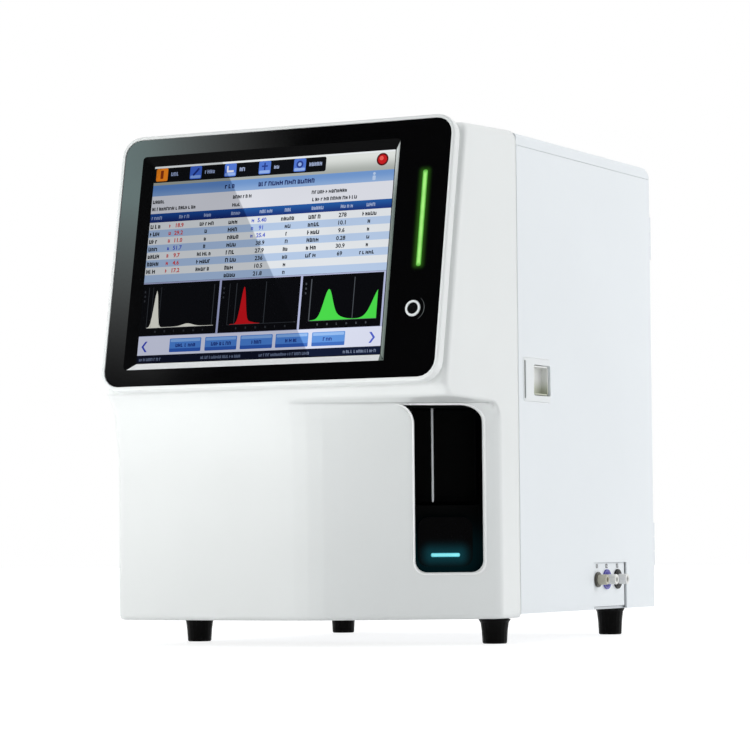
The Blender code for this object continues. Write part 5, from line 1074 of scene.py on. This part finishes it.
# Stage, lamps and camera
def make_stage():
    """Floor that looks white and throws back less light than it shows."""
    paint = (0.86, 0.865, 0.87)
    look = Look("floor_paint", paint, 0.7)
    path = look.node("LightPath").outputs
    shade = look.mix(path["Is Camera Ray"], paint, (0.26, 0.265, 0.27))
    look.tone(look.noise(3, 2), 0.004, shade)
    mirrored = look.do("ADD", path["Is Glossy Ray"], path["Is Transmission Ray"])
    seen = look.do("MINIMUM", look.do("ADD", path["Is Camera Ray"], mirrored), 1.0)
    look.set("Emission Color", (1.0, 1.0, 1.0, 1.0))
    look.set("Emission Strength", look.do("MULTIPLY", seen, 0.79))
    floor = bmesh.new()
    bmesh.ops.create_grid(floor, x_segments=8, y_segments=8, size=7.0)
    data = bpy.data.meshes.new("floor")
    floor.to_mesh(data)
    floor.free()
    data.materials.append(look.made)
    thing = add_object("floor", data)


def make_world():
    """Soft grey light everywhere, a white backdrop, and a bright upper left for what gloss shows."""
    world = bpy.data.worlds.new("studio")
    bpy.context.scene.world = world
    world.use_nodes = True
    world.node_tree.nodes.clear()
    kit = NodeKit(world.node_tree)
    path = kit.node("LightPath").outputs
    direction = kit.node("TexCoord").outputs["Generated"]
    across, behind, rise = [kit.dot(direction, axis) for axis in ((1, 0, 0), (0, 1, 0), (0, 0, 1))]

    def ramp(value, low, high):
        return kit.span(value, low, high, kind="LINEAR")

    near = kit.do("ADD", ramp(across, -0.469, -0.519), ramp(rise, 0.3445, 0.412))
    near = kit.do("POWER", kit.do("SUBTRACT", near, 1.0, use_clamp=True), 2.0)
    far = kit.do("MULTIPLY", ramp(across, -0.66, -0.58), ramp(rise, 0.62, 0.52))
    patch = kit.do("MULTIPLY", near, far)
    wall = kit.span(behind, -0.45, 0.05, 0.03, 1.0)
    mirrored = kit.do("MAXIMUM", kit.do("MULTIPLY", patch, 4.0), wall)
    either = kit.do("MAXIMUM", path["Is Glossy Ray"], path["Is Transmission Ray"])
    plain = kit.node("Background", {"Color": (0.96, 0.985, 1.0, 1.0), "Strength": 0.57})
    tint = kit.mix(patch, (1.0, 1.0, 1.0), (0.74, 1.0, 0.99))
    gloss = kit.node("Background", {"Color": tint, "Strength": mirrored})
    white = kit.node("Background", {"Color": (1.0, 1.0, 1.0, 1.0), "Strength": 1.0})
    first = kit.node("MixShader", {0: either, 1: plain.outputs[0], 2: gloss.outputs[0]})
    second = kit.node("MixShader", {0: path["Is Camera Ray"], 1: first.outputs[0], 2: white.outputs[0]})
    kit.node("OutputWorld", {"Surface": second.outputs[0]})


def lamp(name, place, target, size, power, colour=(1.0, 1.0, 1.0), spread=180):
    data = bpy.data.lights.new(name, "AREA")
    data.shape = "RECTANGLE"
    data.size, data.size_y = size
    data.energy = power
    data.color = colour
    data.spread = math.radians(spread)
    thing = add_object(name, data)
    thing.location = place
    thing.rotation_euler = (Vector(target) - Vector(place)).to_track_quat("-Z", "Y").to_euler()
    thing.visible_glossy = False
    thing.visible_camera = False


def make_lamps():
    middle = (0, 0, 0.2)
    lamp("side_softbox", (2.1, 1.3, 1.0), middle, (1.6, 1.8), 21)
    lamp("front_softbox", (-0.9, -0.88, 0.36), (0, -0.15, 0.22), (0.6, 0.4), 2.3, (1.0, 1.0, 0.96))
    lamp("low_softbox", (-0.35, -0.88, 0.01), (0.05, -0.15, 0.3), (1.1, 0.4), 2.9)
    lamp("bounce_card", (0.0, -0.46, 0.012), (0.03, -0.2, 0.19), (0.5, 0.12), 0.07, spread=60)
    lamp("top_softbox", (0.1, 0.2, 2.4), middle, (2.2, 2.2), 9)
    lamp("rear_softbox", (-1.6, 2.2, 1.2), middle, (1.6, 1.6), 14)


# Camera as solved from the edges of the photograph
CAMERA_PLACE = Vector((1.135456, -2.241472, 0.077277))
YAW, PITCH, ROLL = [math.radians(angle) for angle in (27.2037, 3.11454, -0.48349)]


def make_camera():
    forward = Vector((-math.sin(YAW) * math.cos(PITCH), math.cos(YAW) * math.cos(PITCH), math.sin(PITCH)))
    level = Vector((math.cos(YAW), math.sin(YAW), 0))
    rise = level.cross(forward)
    right = level * math.cos(ROLL) + rise * math.sin(ROLL)
    up = rise * math.cos(ROLL) - level * math.sin(ROLL)
    data = bpy.data.cameras.new("camera")
    data.sensor_width = 36.0
    data.lens = 148.65
    data.clip_start = 0.05
    data.clip_end = 50.0
    thing = add_object("camera", data)
    turn = Matrix((right, up, -forward)).transposed().to_4x4()
    thing.matrix_world = Matrix.Translation(CAMERA_PLACE) @ turn
    bpy.context.scene.camera = thing


make_picture()
make_screen_surround()
make_screen_trim()
make_window_bead()
make_latch_trim()
make_latch_lip()
make_port_seal()
make_button_arc()
make_rear_screws()
make_socket_contacts()
make_thread()
make_graduations()
make_port_fittings()
make_foot_collars()
make_stage()
make_world()
make_lamps()
make_camera()
bpy.context.scene.view_settings.view_transform = "Standard"

bpy.context.view_layer.update()
